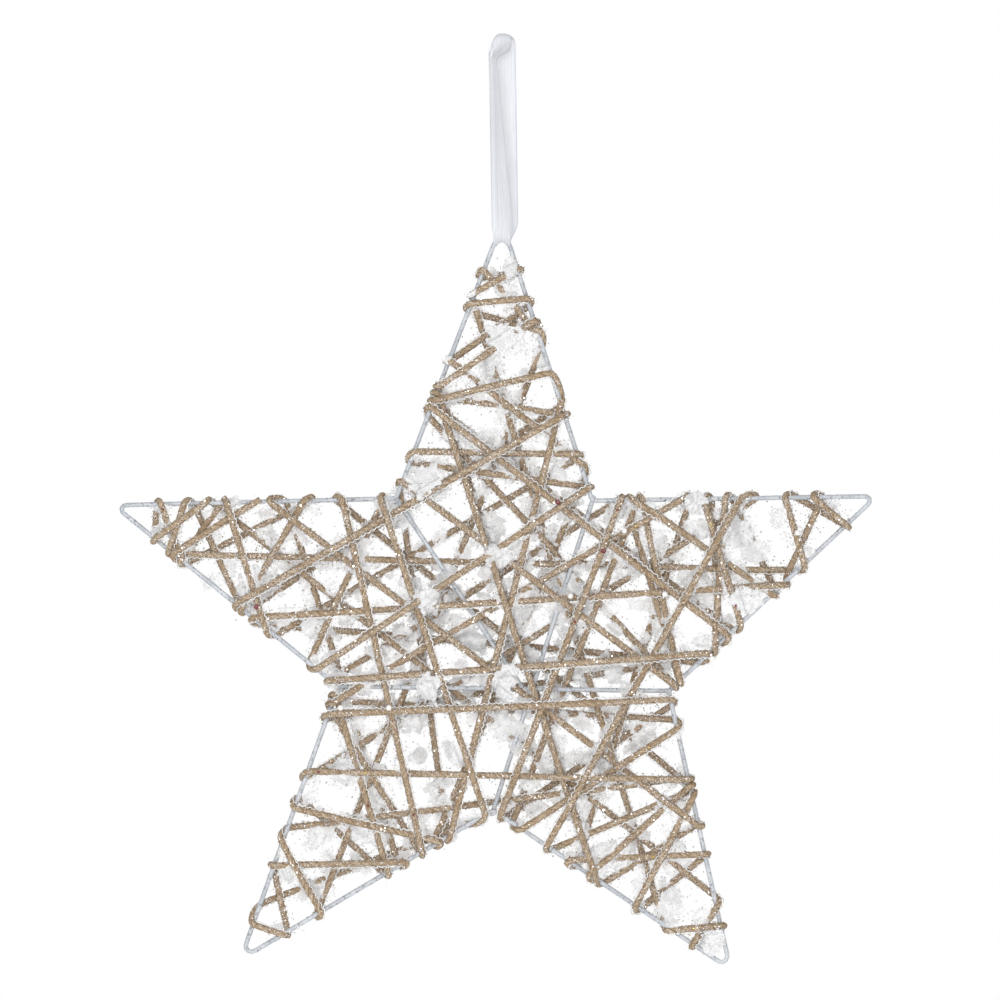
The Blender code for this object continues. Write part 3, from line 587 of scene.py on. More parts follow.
def add_grains(name, kind, centres, sizes, surface):
    """Grains of one kind as one piece, with sizes between two."""
    shape = grains(kind, centres, random.uniform(*sizes, len(centres)))
    add_piece(name, shape, surface, "snow", smooth=False)


def flakes(centres, sizes, outward):
    """Flat six-sided sequins, each tilted its own way from the direction that it faces."""
    facing = unit(outward + 0.45 * random.normal(size=centres.shape))
    first = unit(np.cross(facing, random.normal(size=centres.shape)))
    second = np.cross(facing, first)
    rims = towards(first[:, None], second[:, None], math.pi * np.arange(6) / 3)
    return repeated(rims * sizes[:, None, None] + centres[:, None], fan(6))


def film_depth(spots, cover):
    """Depth of a snow film that hangs between the strands near each spot."""
    low, high = spots.min(axis=0) - SNOW_LOOKS, spots.max(axis=0) + SNOW_LOOKS
    flat = TWINE[:, (0, 2)]
    strands = TWINE[np.all((flat > low) & (flat < high), axis=1)]
    gaps = np.sum((spots[:, None, :] - strands[None, :, (0, 2)]) ** 2, axis=2)
    weights = 1 / (gaps + SNOW_PULL ** 2) ** 2
    middle = np.sum(weights * strands[None, :, 1], axis=1) / np.sum(weights, axis=1)
    soonest = np.where(gaps < (1.3 * TWINE_DIAMETER) ** 2, strands[None, :, 1], 0.0).min(axis=1)
    over = soonest - SNOW_LIFT * TWINE_DIAMETER
    return middle + cover * (over - middle)


def quarters(grid):
    """The values of a grid at the four corners of each of its cells."""
    return grid[:-1, :-1], grid[1:, :-1], grid[:-1, 1:], grid[1:, 1:]


def snow_film(number, centre, reach, cover, skins, spill):
    """A ragged sheet of snow: its shape, how full each point is, and its layout."""
    reach = reach * STAR_SPAN / 1000
    half = int(1.5 * reach / SNOW_CELL)
    span = 2 * half + 1
    offsets = (np.array(list(np.ndindex(span, span))) - half) * SNOW_CELL
    lean = random.uniform(0, math.pi)
    stretch = random.uniform(1.0, 1.45)
    along = offsets @ (math.cos(lean), math.sin(lean))
    across = offsets @ (-math.sin(lean), math.cos(lean))
    away = np.hypot(along / stretch, across * math.sqrt(stretch)) / reach
    spots = centre + offsets
    seeds = np.insert(spots, 2, number * 0.01, axis=1)
    fill = 1 - away + SNOW_RAGGED * (0.75 * rough(seeds, 240) + 0.5 * rough(seeds, 600))
    fill = fill - outside(spots) / spill
    kept = 0.25 * sum(quarters(fill.reshape(span, span))) > SNOW_RIM
    if not kept.any():
        return None
    full = np.all(quarters(np.pad(kept, 1)), axis=0)
    covers = np.clip(cover + SNOW_HUMMOCKS * rough(seeds, 170), 0, 1.05)
    depth = film_depth(spots, covers) + 0.0002 * rough(seeds, 330)
    thick = SNOW_HALF_THICKNESS * np.clip(0.25 + 0.9 * fill, 0.12, 1.1)
    thick = thick * (1 + 0.15 * rough(seeds, 700)) * full.ravel()
    flat = spots + random.uniform(-0.3, 0.3, (len(spots), 2)) * SNOW_CELL
    layers = [in_space(flat, depth + sign * thick) for sign in skins]
    faces = halved(squares(span, span, False, False)[kept.ravel()][:, (0, 3, 2, 1)])
    if len(skins) > 1:
        faces = np.vstack((faces, faces[:, ::-1] + len(spots)))
    used, faces = np.unique(faces, return_inverse=True)
    shape = (np.vstack(layers)[used], faces.reshape(-1, 3))
    return shape, np.tile(fill, len(skins))[used], (spots, fill, depth, thick)


def web_spots():
    """Places along the twine where thin webs of snow cling, clear of each other."""
    spots = []
    tries = random.permutation(len(TWINE) - 2)[:6 * WEBS] + 1
    for index in tries:
        right, _, up = TWINE_DIRECTIONS[0][index]
        beside = unit(np.array((-up, right)))
        spot = TWINE[index, (0, 2)] + beside * random.choice((-1, 1)) * random.uniform(*WEB_OFFSETS)
        if outside(spot[None])[0] > 0:
            continue
        if spots and np.min(np.linalg.norm(np.array(spots) - spot, axis=1)) < WEB_SPACING:
            continue
        spots.append(spot)
        if len(spots) == WEBS:
            break
    return spots


def strewn(films):
    """Grains over the films and round their rims."""
    centres, sizes = [], []
    for spots, fill, depth, thick in films:
        chance = np.clip(0.42 + 0.9 * fill, 0, 0.5) * SNOW_CELL ** 2 * GRAINS_PER_AREA
        chosen = np.nonzero(random.uniform(size=len(spots)) < chance)[0]
        flat = spots[chosen] + random.uniform(-0.5, 0.5, (len(chosen), 2)) * SNOW_CELL
        side = np.where(random.uniform(size=len(chosen)) < 0.7, -1.0, 1.0)
        centres.append(in_space(flat, depth[chosen] + side * thick[chosen]))
        sizes.append(random.uniform(*GRAIN_SIZES, len(chosen)))
    return np.vstack(centres), np.concatenate(sizes)


def snowiness(points):
    """How much snow has settled near each point, from 0 to 1."""
    spots = np.array([place(right, up) for right, up, _, _ in SNOW])
    reaches = np.array(SNOW)[:, 2] * STAR_SPAN / 1000
    gaps = np.linalg.norm(points[:, None, (0, 2)] - spots, axis=2) / reaches
    return np.clip(1.9 - gaps.min(axis=1), 0, 1)


def on_twine(per_metre, lift, frontness):
    """Random spots on the twine's skin, fewer on its back the more frontness, from 0 to 1.

    Gives where they are, their outward directions and the twine's own.
    """
    count = int(per_metre * TWINE_LENGTH)
    index = random.integers(1, len(TWINE) - 1, count)
    share = random.uniform(0, 1, (count, 1))
    middle = TWINE[index] * (1 - share) + TWINE[index + 1] * share
    tangents, sides, others = (part[index] for part in TWINE_DIRECTIONS)
    angle = random.uniform(0, 2 * math.pi, count)
    outward = towards(sides, others, angle)
    keep = random.uniform(size=count) < 1 - frontness * 0.5 * (1 + outward[:, 1])
    radius = TWINE_RADIUS * 0.95 + lift
    return (middle + radius * outward)[keep], outward[keep], tangents[keep]


def add_films(name, places, skins, spill, snow, replaced=()):
    """Snow films as one piece; gives back their layouts."""
    films = [snow_film(number, *where, skins, spill) for number, where in enumerate(places)]
    shapes, fills, layouts = zip(*filter(None, films))
    add_piece(name, joined(shapes), snow, "snow", replaced, fill=np.concatenate(fills))
    return layouts


def make_snow(snow, grain):
    patches = [(place(right, up), reach, cover / 10) for right, up, reach, cover in SNOW]
    webs = [(spot, random.uniform(*WEB_REACH), random.uniform(*WEB_COVER)) for spot in web_spots()]
    clumps = nodes_named("snow_clump_")
    layouts = add_films("snow_patches", patches, (-1, 1), SNOW_SPILL, snow, clumps)
    layouts += add_films("snow_webs", webs, (-1,), WEB_SPILL, snow)
    add_piece("snow_grains", grains(SPECK, *strewn(layouts)), grain, "snow", smooth=False)


def make_frost(surface):
    """Crystals on the twine, in drifts."""
    centres, _, _ = on_twine(FROST_PER_METRE, FROST_LIFT, 0.5)
    drifts = 0.45 + 0.6 * rough(centres, 70) + 0.5 * rough(centres, 260)
    keep = random.uniform(size=len(centres)) < drifts + 0.5 * snowiness(centres) - 0.08
    add_grains("frost_on_twine", CRYSTAL, centres[keep], FROST_SIZES, surface)


def make_halo(surface):
    """Crumbs of snow between the strands, with dark grains of painted shade among them."""
    centres, outward, _ = on_twine(HALO_PER_METRE, 0.0, 0.2)
    close = random.uniform(size=(len(centres), 1)) < HALO_CLOSE_SHARE
    reach = np.where(close, HALO_CLOSE_REACH, HALO_REACH)
    strayed = outward * random.exponential(1.0, (len(centres), 1)) * reach
    centres = centres + strayed * (1.0, HALO_FLATNESS, 1.0)
    drifts = 0.45 + 0.7 * rough(centres, 60) + 0.4 * rough(centres, 200)
    spilled = outside(centres[:, (0, 2)]) > random.exponential(HALO_SPILL, len(centres))
    keep = (random.uniform(size=len(centres)) < drifts) & ~spilled
    add_grains("frost_between", SPECK, centres[keep], GRAIN_SIZES, surface)


def make_glitter(surface):
    centres, outward, _ = on_twine(GLITTER_PER_METRE, GLITTER_LIFT, 0.9)
    sizes = random.uniform(*GLITTER_SIZES, len(centres))
    add_piece("glitter", flakes(centres, sizes, outward), surface, "snow", smooth=False)


def make_hairs(surface, grain):
    """Loose jute hairs that stand off the twine, some with a grain of frost on them."""
    roots, outward, tangents = on_twine(HAIRS_PER_METRE, HAIR_LIFT, 0.3)
    count = len(roots)
    length = random.uniform(*HAIR_LENGTHS, (count, 1))
    lean = random.normal(0, 0.9, (count, 1))
    swing = unit(random.normal(size=(count, 3)))
    heading = unit(outward + lean * tangents + 0.25 * swing)
    curl = unit(random.normal(size=(count, 3))) * 0.35
    steps = [roots]
    for step in range(3):
        heading = unit(heading + curl * (step + 1) / 3)
        steps.append(steps[-1] + heading * length / 3)
    square = unit(np.cross(heading, swing))
    angles = 2 * math.pi * np.arange(3) / 3
    ring = HAIR_RADIUS * towards(square[:, None], np.cross(heading, square)[:, None], angles)
    rings = [centre[:, None] + (1 - 0.2 * step) * ring for step, centre in enumerate(steps)]
    hairs = repeated(np.hstack(rings), halved(squares(len(rings), len(angles), False, True)))
    add_piece("loose_fibres", hairs, surface, "twine")
    at_tips = steps[-1][random.uniform(size=count) < 0.55]
    lower = steps[2][random.uniform(size=count) < 0.3]
    add_grains("frost_on_fibres", CRYSTAL, np.vstack((at_tips, lower)), HAIR_FROST_SIZES, grain)


# Thread

def run_numbers(line):
    """Which run of the winding each point is on: runs lie in front and behind by turns."""
    behind = line[:, 1] > 0
    round_wire = outside(line[1:, (0, 2)]) > WIRE_DIAMETER / 2
    return np.concatenate(([0], np.cumsum((behind[1:] != behind[:-1]) & round_wire)))


def thread_sides(line, tangents):
    """The side of the twine on which the thread lies, and how far it strays, along a line."""
    flat = unit(np.cross(tangents, (0.0, 1.0, 0.0)))
    runs = run_numbers(line)
    side = np.empty((len(line), 3))
    stray = np.empty(len(line))
    for run in range(runs[-1] + 1):
        on_run = runs == run
        shows = next((way for way, numbers in THREAD_SHOWS.items() if run in numbers), None)
        if shows:
            signs = np.sign(flat[on_run] @ np.array((shows[0], 0.0, shows[1])))
            side[on_run] = flat[on_run] * signs[:, None] + (0.0, -0.25, 0.0)
            stray[on_run] = THREAD_STRAY
        else:
            hidden = random.choice((0.8, -0.1)) if run % 2 == 0 else -0.3
            side[on_run] = flat[on_run] * random.choice((-1.0, 1.0)) + (0.0, hidden, 0.0)
            stray[on_run] = 0.3 * THREAD_STRAY
    side = averaged(side, THREAD_PASSES_OVER, 7.0, mode="edge")
    return unit(side - tangents * np.sum(side * tangents, axis=1)[:, None]), stray


def waver(along, length, row):
    """Smooth noise between about -1 and 1 at each distance along the thread."""
    return rough(np.outer(along, (1 / length, 0, 0)) + (0, row, 0))


def make_thread(surface):
    """The thin crinkled thread that is wound along with the twine."""
    line, length = softened(TWINE, THREAD_STEP, BEND_SOFTNESS)
    tangents = directions(line)[0]
    side, stray = thread_sides(line, tangents)
    across = np.cross(tangents, side)
    along = np.linspace(0, length, len(line))
    wander = waver(along, WANDER_LENGTH, 3)
    pulse = waver(along, PULSE_LENGTH, 9)
    phase = 2 * math.pi * along / CRINKLE_LENGTH + 5 * wander
    crinkle = CRINKLE_DEPTH * np.sin(phase) * (1 + 0.7 * pulse)
    sway = 0.4 * CRINKLE_DEPTH * np.cos(phase)
    strayed = stray * np.clip(0.5 + 1.6 * wander, 0, 1.4)
    reach = 0.5 * (TWINE_DIAMETER + THREAD_DIAMETER) + strayed + crinkle
    middle = line + reach[:, None] * side + sway[:, None] * across
    shape = plain_tube(middle, THREAD_DIAMETER / 2, THREAD_SIDES)
    add_piece("crinkled_thread", shape, surface, "twine")


# Wire

def wire_piece(name, closed, surface):
    line, _ = softened(front_line(name), WIRE_STEP, WIRE_SOFTNESS, closed)
    if not closed:
        line[0] += WELD_REACH * unit(line[0] - line[1])
        line[-1] += WELD_REACH * unit(line[-1] - line[-2])
    points, faces = plain_tube(line, WIRE_DIAMETER / 2, WIRE_SIDES, closed)
    lumps = PAINT_LUMPS * rough(points, 260)
    middle = np.repeat(line, WIRE_SIDES, axis=0)
    points = points + unit(points - middle) * lumps[:, None]
    painted = name.replace("_wire", "_painted_wire")
    add_piece(painted, (points, faces), surface, "wire", [name])
    return line


def weld(number, centre, surface):
    """A nugget of weld metal under the paint where two wires meet."""
    points, faces = ball(WELD_RADIUS, 3)
    swell = 1 + 0.22 * rough(900 * points + (number, 0, 0))
    add_piece(f"weld_{number}", (centre + points * swell[:, None], faces), surface, "wire")


def make_wires(surface):
    """The outline and the braces, with each weld half way from a brace to the star's plane."""
    wire_piece("star_outline_wire", True, surface)
    number = 0
    for name in nodes_named(""):
        if name.endswith("_brace_wire"):
            line = wire_piece(name, False, surface)
            for end in (line[0], line[-1]):
                number += 1
                weld(number, end * (1.0, 0.5, 1.0), surface)


# Ribbon

def eased(share):
    """A share from 0 to 1 that starts and ends gently."""
    return share * share * (3 - 2 * share)


def ribbon_twist(share):
    """How far the front strand is turned about its own length at a share of its height."""
    rising = min(1.0, share / RIBBON_TWISTS_AT)
    falling = max(0.0, (share - RIBBON_TWISTS_AT) / (1 - RIBBON_TWISTS_AT))
    turned_by = math.acos(1 - (1 - math.cos(RIBBON_TWIST)) * rising)
    return turned_by * (1 - eased(falling))


def fold_sag(offset, share):
    """How much lower the ribbon lies off its middle, towards the fold."""
    most = RIBBON_LEFT_SAG if offset < 0 else RIBBON_RIGHT_SAG
    nearness = max(0.0, 1 - (1 - share) / RIBBON_SAGS_OVER)
    return most * (2 * abs(offset) / RIBBON_WIDTH) ** 3 * eased(nearness)


def strand_middle(share, face):
    """How far right the middle of the front or back strand hangs at a share of its height."""
    if face > 0:
        return BACK_STRAND_MIDDLE + BACK_STRAND_DRIFT * share
    edge = FRONT_STRAND_EDGE + FRONT_STRAND_DRIFT * share
    return edge + RIBBON_WIDTH / 2 * math.cos(ribbon_twist(share))


def ribbon_rows():
    """Rows across the ribbon, from under the wire up the front, over the fold and down behind."""
    seat = WIRE_DIAMETER / 2 + JOIN_GAP + RIBBON_THICKNESS / 2
    fold = RIBBON_FOLD_RADIUS + RIBBON_THICKNESS / 2
    fold_centre = -RIBBON_FOLD_RADIUS
    arc_centre = -RIBBON_DROP - TIP_BEND
    across = RIBBON_WIDTH / 2 * np.linspace(-1, 1, RIBBON_LANES + 1)

    def seated(offset, turn):
        lean = offset / TIP_BEND
        reach = TIP_BEND - seat * math.cos(turn)
        return (reach * math.sin(lean), seat * math.sin(turn), arc_centre + reach * math.cos(lean))

    def strand(offset, share, face):
        low = seated(offset, face * math.pi / 2)
        spread = eased(min(1.0, share / RIBBON_SPREADS_OVER))
        swell = math.sin(math.pi * share)
        cup = RIBBON_CUP * swell * (2 * abs(offset) / RIBBON_WIDTH) ** 2
        ripple = RIBBON_RIPPLE * math.sin(3 * math.pi * share + face) * swell
        turn = ribbon_twist(share) if face < 0 else 0.0
        wide = strand_middle(share, face) + offset * math.cos(turn)
        x = low[0] + (wide - low[0]) * spread
        y = face * (seat + (fold - seat) * share + (RIBBON_BOW + ripple) * swell - cup)
        y -= offset * math.sin(turn) * spread
        return (x, y, low[2] + (fold_centre - low[2]) * share - fold_sag(offset, share))

    shares = np.arange(RIBBON_ROWS + 1) / RIBBON_ROWS
    turns = np.arange(1, FOLD_ROWS) / FOLD_ROWS
    rows = [[strand(offset, share, -1) for offset in across] for share in shares]
    for share in turns:
        angle = math.pi * share
        height = fold_centre + fold * math.sin(angle)
        middle = (1 - share) * strand_middle(1.0, -1) + share * strand_middle(1.0, 1)
        depth = -fold * math.cos(angle)
        rows.append([(middle + offset, depth, height - fold_sag(offset, 1.0)) for offset in across])
    rows += [[strand(offset, 1 - share, 1) for offset in across] for share in shares]
    rows += [[seated(offset, math.pi * (0.5 - share)) for offset in across] for share in turns]
    return np.array(rows)


def make_ribbon(surface):
    rows = ribbon_rows()
    count, lanes = rows.shape[:2]
    steps = np.linalg.norm(np.roll(rows, -1, axis=0) - rows, axis=2).mean(axis=1)
    weave = np.zeros((count, lanes, 3))
    weave[:, :, 0] = RIBBON_WIDTH / 2 * np.linspace(-1, 1, lanes)
    weave[1:, :, 1] = np.cumsum(steps)[:-1, None]
    shape = (rows.reshape(-1, 3), squares(count, lanes, True, False))
    piece = add_piece("organza_ribbon", shape, surface, "ribbon", ["hanging_ribbon"], weave=weave)


# Beads

def bead(low, high, hole):
    """A round bead with a threading hole through it."""
    low, high = np.array(low), np.array(high)
    radius = 0.5 * float(max(high - low))
    start = math.asin(hole / radius)
    angles = np.linspace(start, math.pi - start, BEAD_RINGS)
    outer = radius * np.stack((np.sin(angles), np.cos(angles)), axis=1)
    inner = [(0.8 * hole, 0.9 * outer[-1, 1]), (0.8 * hole, 0.9 * outer[0, 1])]
    profile = np.vstack((outer, inner))
    turn = 2 * math.pi * np.arange(BEAD_SIDES) / BEAD_SIDES
    axis = unit(random.normal(size=3) * (1.0, 0.5, 1.0))
    side = unit(np.cross(axis, (0.3, 1.0, 0.2)))
    out = towards(side, np.cross(axis, side), turn)
    points = profile[:, 0, None, None] * out[None] + profile[:, 1, None, None] * axis
    faces = squares(len(profile), BEAD_SIDES, True, True)[:, (0, 3, 2, 1)]
    return 0.5 * (low + high) + points.reshape(-1, 3), faces


def make_beads(start, new_start, hole, surface, slot):
    """A threaded bead in the place of each node of one kind."""
    for name in nodes_named(start):
        shape = bead(*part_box(name), hole)
        add_piece(name.replace(start, new_start), shape, surface, slot, [name])


def small_beads(name, spots, size, surface, slot):
    """Beads too small for the solids, each on the front twine nearest to its spot."""
    front = TWINE[TWINE[:, 1] < 0]
    points, faces = ball(size / 2, 2)
    beads = []
    for right, up in spots:
        gaps = np.linalg.norm(front[:, (0, 2)] - place(right, up), axis=1)
        beads.append(points + front[np.argmin(gaps)] - (0, TWINE_RADIUS + 0.4 * size, 0))
    add_piece(name, repeated(np.array(beads), faces), surface, slot)


# Materials

class Look:
    """The nodes of a material or a world, and short ways to add to them."""

    def __init__(self, owner, shader="Principled BSDF"):
        owner.use_nodes = True
        self.owner = owner
        self.tree = owner.node_tree
        self.shader = self.tree.nodes[shader]

    def fill(self, node, socket, value):
        """Sets an input of a node, or links it to the output of another."""
        if isinstance(value, bpy.types.NodeSocket):
            self.tree.links.new(value, node.inputs[socket])
        else:
            node.inputs[socket].default_value = value

    def set(self, **values):
        for name, value in values.items():
            self.fill(self.shader, name.replace("_", " "), value)

    def node(self, kind, output, inputs, **settings):
        """An output of a new node."""
        node = self.tree.nodes.new("ShaderNode" + kind)
        for name, value in settings.items():
            setattr(node, name, value)
        for socket, value in inputs.items():
            self.fill(node, socket, value)
        return node.outputs[output]

    def attribute(self, name, output="Vector"):
        return self.node("Attribute", output, {}, attribute_name=name)

    def axis(self, vector, name):
        return self.node("SeparateXYZ", name, {"Vector": vector})

    def place(self, scale=(1, 1, 1), source=None):
        """Coordinates in metres, or those of an attribute, times a scale."""
        if source is None:
            source = self.node("TexCoord", "Object", {})
        return self.node("Mapping", "Vector", {"Vector": source, "Scale": scale})

    def noise(self, scale, detail=3.0, roughness=0.55, place=None):
        inputs = {"Scale": scale, "Detail": detail, "Roughness": roughness}
        return self.node("TexNoise", "Fac", {"Vector": place or self.place(), **inputs})

    def ramp(self, source, *stops):
        """A colour that changes with a value, from stops of a value and a colour each."""
        node = self.tree.nodes.new("ShaderNodeValToRGB")
        elements = node.color_ramp.elements
        while len(elements) < len(stops):
            elements.new(0.5)
        for element, (position, colour) in zip(elements, stops):
            element.position = position
            element.color = colour
        self.fill(node, "Fac", source)
        return node.outputs["Color"]

    def mix(self, share, first, second, blend="MIX"):
        inputs = {0: share, 6: first, 7: second}
        return self.node("Mix", 2, inputs, data_type="RGBA", blend_type=blend)

    def calculate(self, operation, *values):
        return self.node("Math", "Value", dict(enumerate(values)), operation=operation)

    def span(self, value, low, high, top=1.0, interpolation="LINEAR"):
        """How far a value is from low to high: 0 below, the top above."""
        inputs = {"Value": value, "From Min": low, "From Max": high, "To Max": top}
        return self.node("MapRange", "Result", inputs, interpolation_type=interpolation)

    def bump(self, height, strength, distance):
        inputs = {"Height": height, "Strength": strength, "Distance": distance}
        self.set(Normal=self.node("Bump", "Normal", inputs))


def material(name):
    return Look(bpy.data.materials.new(name))


def grey(value):
    return (value, value, value, 1.0)


def mottled(name, scale, *stops, **settings):
    """A material whose colour follows one noise."""
    look = material(name)
    look.set(Base_Color=look.ramp(look.noise(scale), *stops), **settings)
    return look.owner


def jute():
    """Fibres that run along the twisted plies, snow dust, and painted shade in the creases, on the
    back runs and in tiny hollows.
    """
    look = material("jute_twine")
    fibre = look.attribute("fibre")
    streaks = look.noise(1.0, 4.0, 0.65, look.place((1900, 1900, 280), fibre))
    colour = look.ramp(streaks, (0.32, (0.175, 0.118, 0.07, 1)), (0.5, (0.455, 0.34, 0.222, 1)),
                       (0.68, (0.79, 0.65, 0.49, 1)))
    tint = look.ramp(look.noise(1.0, 2.0, place=look.place((300, 300, 60), fibre)),
                     (0.3, (0.84, 0.8, 0.74, 1)), (0.7, WHITE))
    tinted = look.mix(0.8, colour, tint, "MULTIPLY")
    # Painted shade: the colour darkens in the creases between the plies.
    creases = look.ramp(look.attribute("crease", "Fac"), (0.45, BLACK), (1.0, grey(0.6)))
    crease_shaded = look.mix(creases, tinted, (0.24, 0.155, 0.09, 1))
    # Painted shade: runs that lie behind the star's plane are darkened, as if in the front runs'
    # shadow.
    behind = look.span(look.axis(look.place(), "Y"), -TWINE_RADIUS, TWINE_DIAMETER, 0.32)
    shaded = look.mix(behind, crease_shaded, (0.18, 0.125, 0.08, 1))
    spots = look.noise(1300, 2.0, 0.7)
    # Painted shade: small dark specks stand for shadowed hollows between the fibres.
    pit_shade = look.ramp(spots, (0.37, WHITE), (0.41, BLACK))
    pit_shaded = look.mix(pit_shade, shaded, (0.13, 0.08, 0.045, 1))
    dots = look.ramp(spots, (0.6, BLACK), (0.63, WHITE))
    zones = look.ramp(look.noise(75, 2.0), (0.36, BLACK), (0.58, WHITE))
    dust = look.calculate("MULTIPLY", dots, zones)
    look.set(Base_Color=look.mix(dust, pit_shaded, (0.88, 0.88, 0.89, 1)), Roughness=0.88)
    look.bump(streaks, 0.7, 0.0003)
    return look.owner


def jute_hair():
    return mottled("jute_hair", 400, (0.35, (0.38, 0.26, 0.15, 1)), (0.65, (0.68, 0.54, 0.37, 1)),
                   Roughness=0.8)


def painted_wire():
    """White-grey paint with chips and flecks."""
    look = material("painted_wire")
    flecks = look.noise(620, 4.0, 0.7)
    base = look.ramp(look.noise(90), (0.35, (0.46, 0.49, 0.53, 1)), (0.65, (0.63, 0.655, 0.69, 1)))
    marks = look.ramp(flecks, (0.56, BLACK), (0.62, WHITE))
    look.set(Base_Color=look.mix(marks, base, (0.25, 0.26, 0.28, 1)),
             Roughness=look.ramp(flecks, (0.3, grey(0.34)), (0.7, grey(0.62))))
    look.bump(flecks, 0.35, 0.0002)
    return look.owner


def snow_crust():
    """Sheer crumbly films that break up into specks towards their rims."""
    look = material("snow_crust")
    fine = look.noise(950, 4.0, 0.8)
    specks = look.noise(1450, 2.0, 0.6)
    base = look.ramp(look.noise(330), (0.38, (0.81, 0.81, 0.815, 1)), (0.6, (0.95, 0.95, 0.953, 1)))
    grey_specks = look.ramp(specks, (0.34, WHITE), (0.38, BLACK))
    white_specks = look.ramp(specks, (0.57, BLACK), (0.61, WHITE))
    speckled = look.mix(grey_specks, base, (0.5, 0.48, 0.45, 1))
    body = look.calculate("MULTIPLY_ADD", look.attribute("fill", "Fac"), 2.4, fine)
    look.set(Base_Color=look.mix(white_specks, speckled, (0.93, 0.93, 0.94, 1)),
             Alpha=look.ramp(body, (0.5, BLACK), (0.55, grey(0.7)), (1.0, grey(0.84))),
             Roughness=0.85)
    look.bump(fine, 0.2, 0.0002)
    return look.owner


def snow_grain():
    return mottled("snow_grain", 1100, (0.38, (0.66, 0.67, 0.7, 1)), (0.55, (0.93, 0.93, 0.94, 1)),
                   Roughness=0.35)


def snow_speck_and_shade():
    """Grains from white to grey-brown; the dark brown ones are painted shade, dark specks that stand
    for shadow along the twine's sides.
    """
    return mottled("snow_speck_and_shade", 1100, (0.43, (0.2, 0.14, 0.09, 1)), (0.49, (0.52, 0.45, 0.37, 1)),
                   (0.57, grey(0.96)), Roughness=0.5)


def glitter_foil():
    return mottled("glitter_foil", 900, (0.4, (0.9, 0.91, 0.95, 1)), (0.6, (1.0, 0.99, 0.96, 1)),
                   Metallic=0.9, Roughness=0.2)


def crinkled():
    return mottled("crinkled_thread", 700, (0.35, (0.84, 0.83, 0.81, 1)),
                   (0.5, (0.97, 0.965, 0.955, 1)), Roughness=0.35)


def organza():
    """Sheer plain weave with denser selvedges."""
    look = material("organza")
    weave = look.attribute("weave")
    across, along = look.axis(weave, "X"), look.axis(weave, "Y")
    warp = look.calculate("MULTIPLY", across, 2 * math.pi / WARP_PITCH)
    weft = look.calculate("MULTIPLY", along, 2 * math.pi / WEFT_PITCH)
    threads = [look.calculate("SINE", turn) for turn in (warp, weft)]
    raised = look.calculate("MAXIMUM", *threads)
    cover = look.ramp(raised, (0.0, grey(0.79)), (0.9, grey(0.92)))
    lines = look.noise(1.0, 2.0, place=look.place((1500, 24, 1), weave))
    streaks = look.ramp(lines, (0.35, grey(0.78)), (0.65, WHITE))
    cloth = look.calculate("MULTIPLY", streaks, cover)
    selvedge = look.span(look.calculate("ABSOLUTE", across), 0.5 * RIBBON_WIDTH - SELVEDGE_BEGINS,
                         0.5 * RIBBON_WIDTH - SELVEDGE_FULL, interpolation="SMOOTHSTEP")
    cloud = look.noise(260, 2.0, place=look.place((1, 1, 0.2)))
    colour = look.ramp(cloud, (0.3, (0.715, 0.735, 0.785, 1)), (0.7, (0.775, 0.79, 0.835, 1)))
    edge_share = look.calculate("MULTIPLY", selvedge, 0.6)
    look.set(Base_Color=look.mix(edge_share, colour, (0.5, 0.5, 0.6, 1)),
             Alpha=look.mix(selvedge, cloth, grey(0.96)), Roughness=0.42, Sheen_Weight=0.3)
    look.bump(raised, 0.3, 0.0001)
    return look.owner


def nacre():
    return mottled("pearl_nacre", 500, (0.35, (0.87, 0.85, 0.82, 1)), (0.65, (0.97, 0.96, 0.94, 1)),
                   Roughness=0.22, Coat_Weight=0.6, Coat_Roughness=0.08)


def red_glass():
    return mottled("red_glass", 600, (0.35, (0.13, 0.014, 0.02, 1)), (0.65, (0.25, 0.035, 0.045, 1)),
                   Roughness=0.18, Coat_Weight=0.5)


def gold_foil():
    return mottled("gold_foil", 800, (0.35, (0.52, 0.38, 0.1, 1)), (0.65, (0.85, 0.68, 0.28, 1)),
                   Metallic=0.8, Roughness=0.3)


def studio_floor():
    return mottled("studio_floor", 6, (0.3, grey(0.8)), (0.7, grey(0.84)), Roughness=0.7,
                   Emission_Color=WHITE, Emission_Strength=FLOOR_GLOW)


# Stage, light and camera

def make_stage():
    corners = FLOOR_REACH * np.array([(-1, -1, 0), (1, -1, 0), (1, 1, 0), (-1, 1, 0)])
    points = corners + (0, 0, FLOOR_HEIGHT)
    mesh = mesh_of("floor", points, np.array([(0, 1, 2, 3)]), smooth=False)
    mesh.materials.append(studio_floor())
    floor = added("floor", mesh)


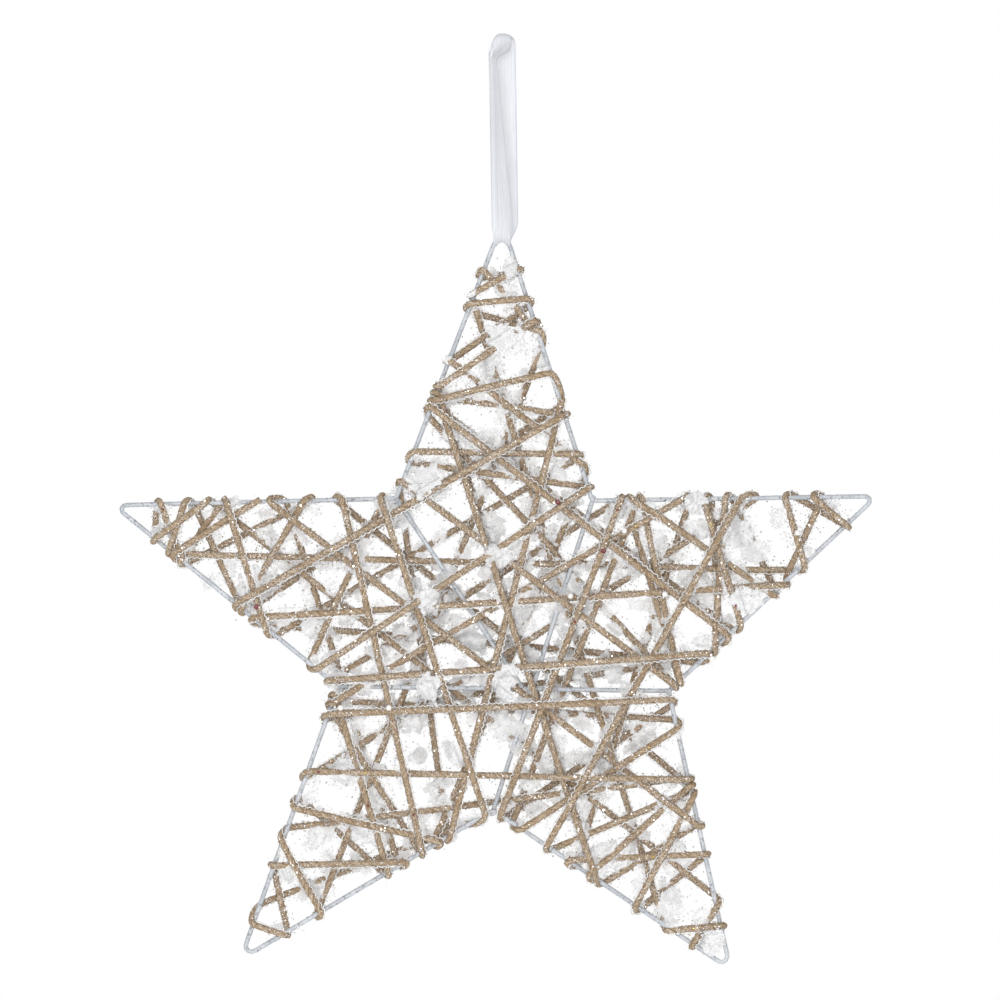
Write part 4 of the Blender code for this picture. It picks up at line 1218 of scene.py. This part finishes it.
def make_world():
    """White to the camera, dimmer as a light and brighter in reflections."""
    scene = bpy.context.scene
    scene.world = bpy.data.worlds.new("studio")
    look = Look(scene.world, "Background")
    seen = look.node("LightPath", "Is Camera Ray", {})
    reflected = look.node("LightPath", "Is Glossy Ray", {})
    strength = look.node("MapRange", "Result", {"Value": seen, "To Min": AMBIENT})
    strength = look.calculate("MULTIPLY_ADD", reflected, GLINT - AMBIENT, strength)
    look.set(Strength=strength, Color=WHITE)
    scene.view_settings.view_transform = "Standard"


def softbox(name, location, size, watts):
    """A square lamp that faces the star and doesn't show in the picture."""
    lamp = bpy.data.lights.new(name, "AREA")
    lamp.size = size
    lamp.energy = watts
    item = added(name, lamp)
    item.location = location
    target = Vector((VIEW_RIGHT, 0.0, VIEW_UP))
    item.rotation_euler = (target - item.location).to_track_quat("-Z", "Y").to_euler()
    item.visible_camera = False


def make_camera():
    data = bpy.data.cameras.new("camera")
    data.sensor_width = SENSOR
    data.lens = SENSOR * VIEW_DISTANCE / VIEW_WIDTH
    data.clip_start = 0.05
    data.clip_end = 20.0
    camera = added("camera", data)
    camera.location = (VIEW_RIGHT, -VIEW_DISTANCE, VIEW_UP)
    camera.rotation_euler = (math.radians(90), 0.0, 0.0)
    bpy.context.scene.camera = camera


TWINE, TWINE_LENGTH = softened(pulled_in(twine_line()), TWINE_STEP, BEND_SOFTNESS)
TWINE_DIRECTIONS = directions(TWINE)

make_camera()
make_world()
for box in SOFTBOXES:
    softbox(*box)
make_stage()
make_wires(painted_wire())
make_twine(jute())
make_thread(crinkled())
make_ribbon(organza())
pearl, red, gold, grain = nacre(), red_glass(), gold_foil(), snow_grain()
make_beads("pearl_bead_", "pearl_", PEARL_HOLE, pearl, "pearl")
make_beads("red_bead_", "red_glass_bead_", RED_HOLE, red, "red_bead")
small_beads("gold_flecks", GOLD_FLECKS, GOLD_FLECK_SIZE, gold, "pearl")
small_beads("tiny_red_beads", TINY_REDS, TINY_RED_SIZE, red, "red_bead")
make_snow(snow_crust(), grain)
make_frost(grain)
make_halo(snow_speck_and_shade())
make_glitter(glitter_foil())
make_hairs(jute_hair(), grain)
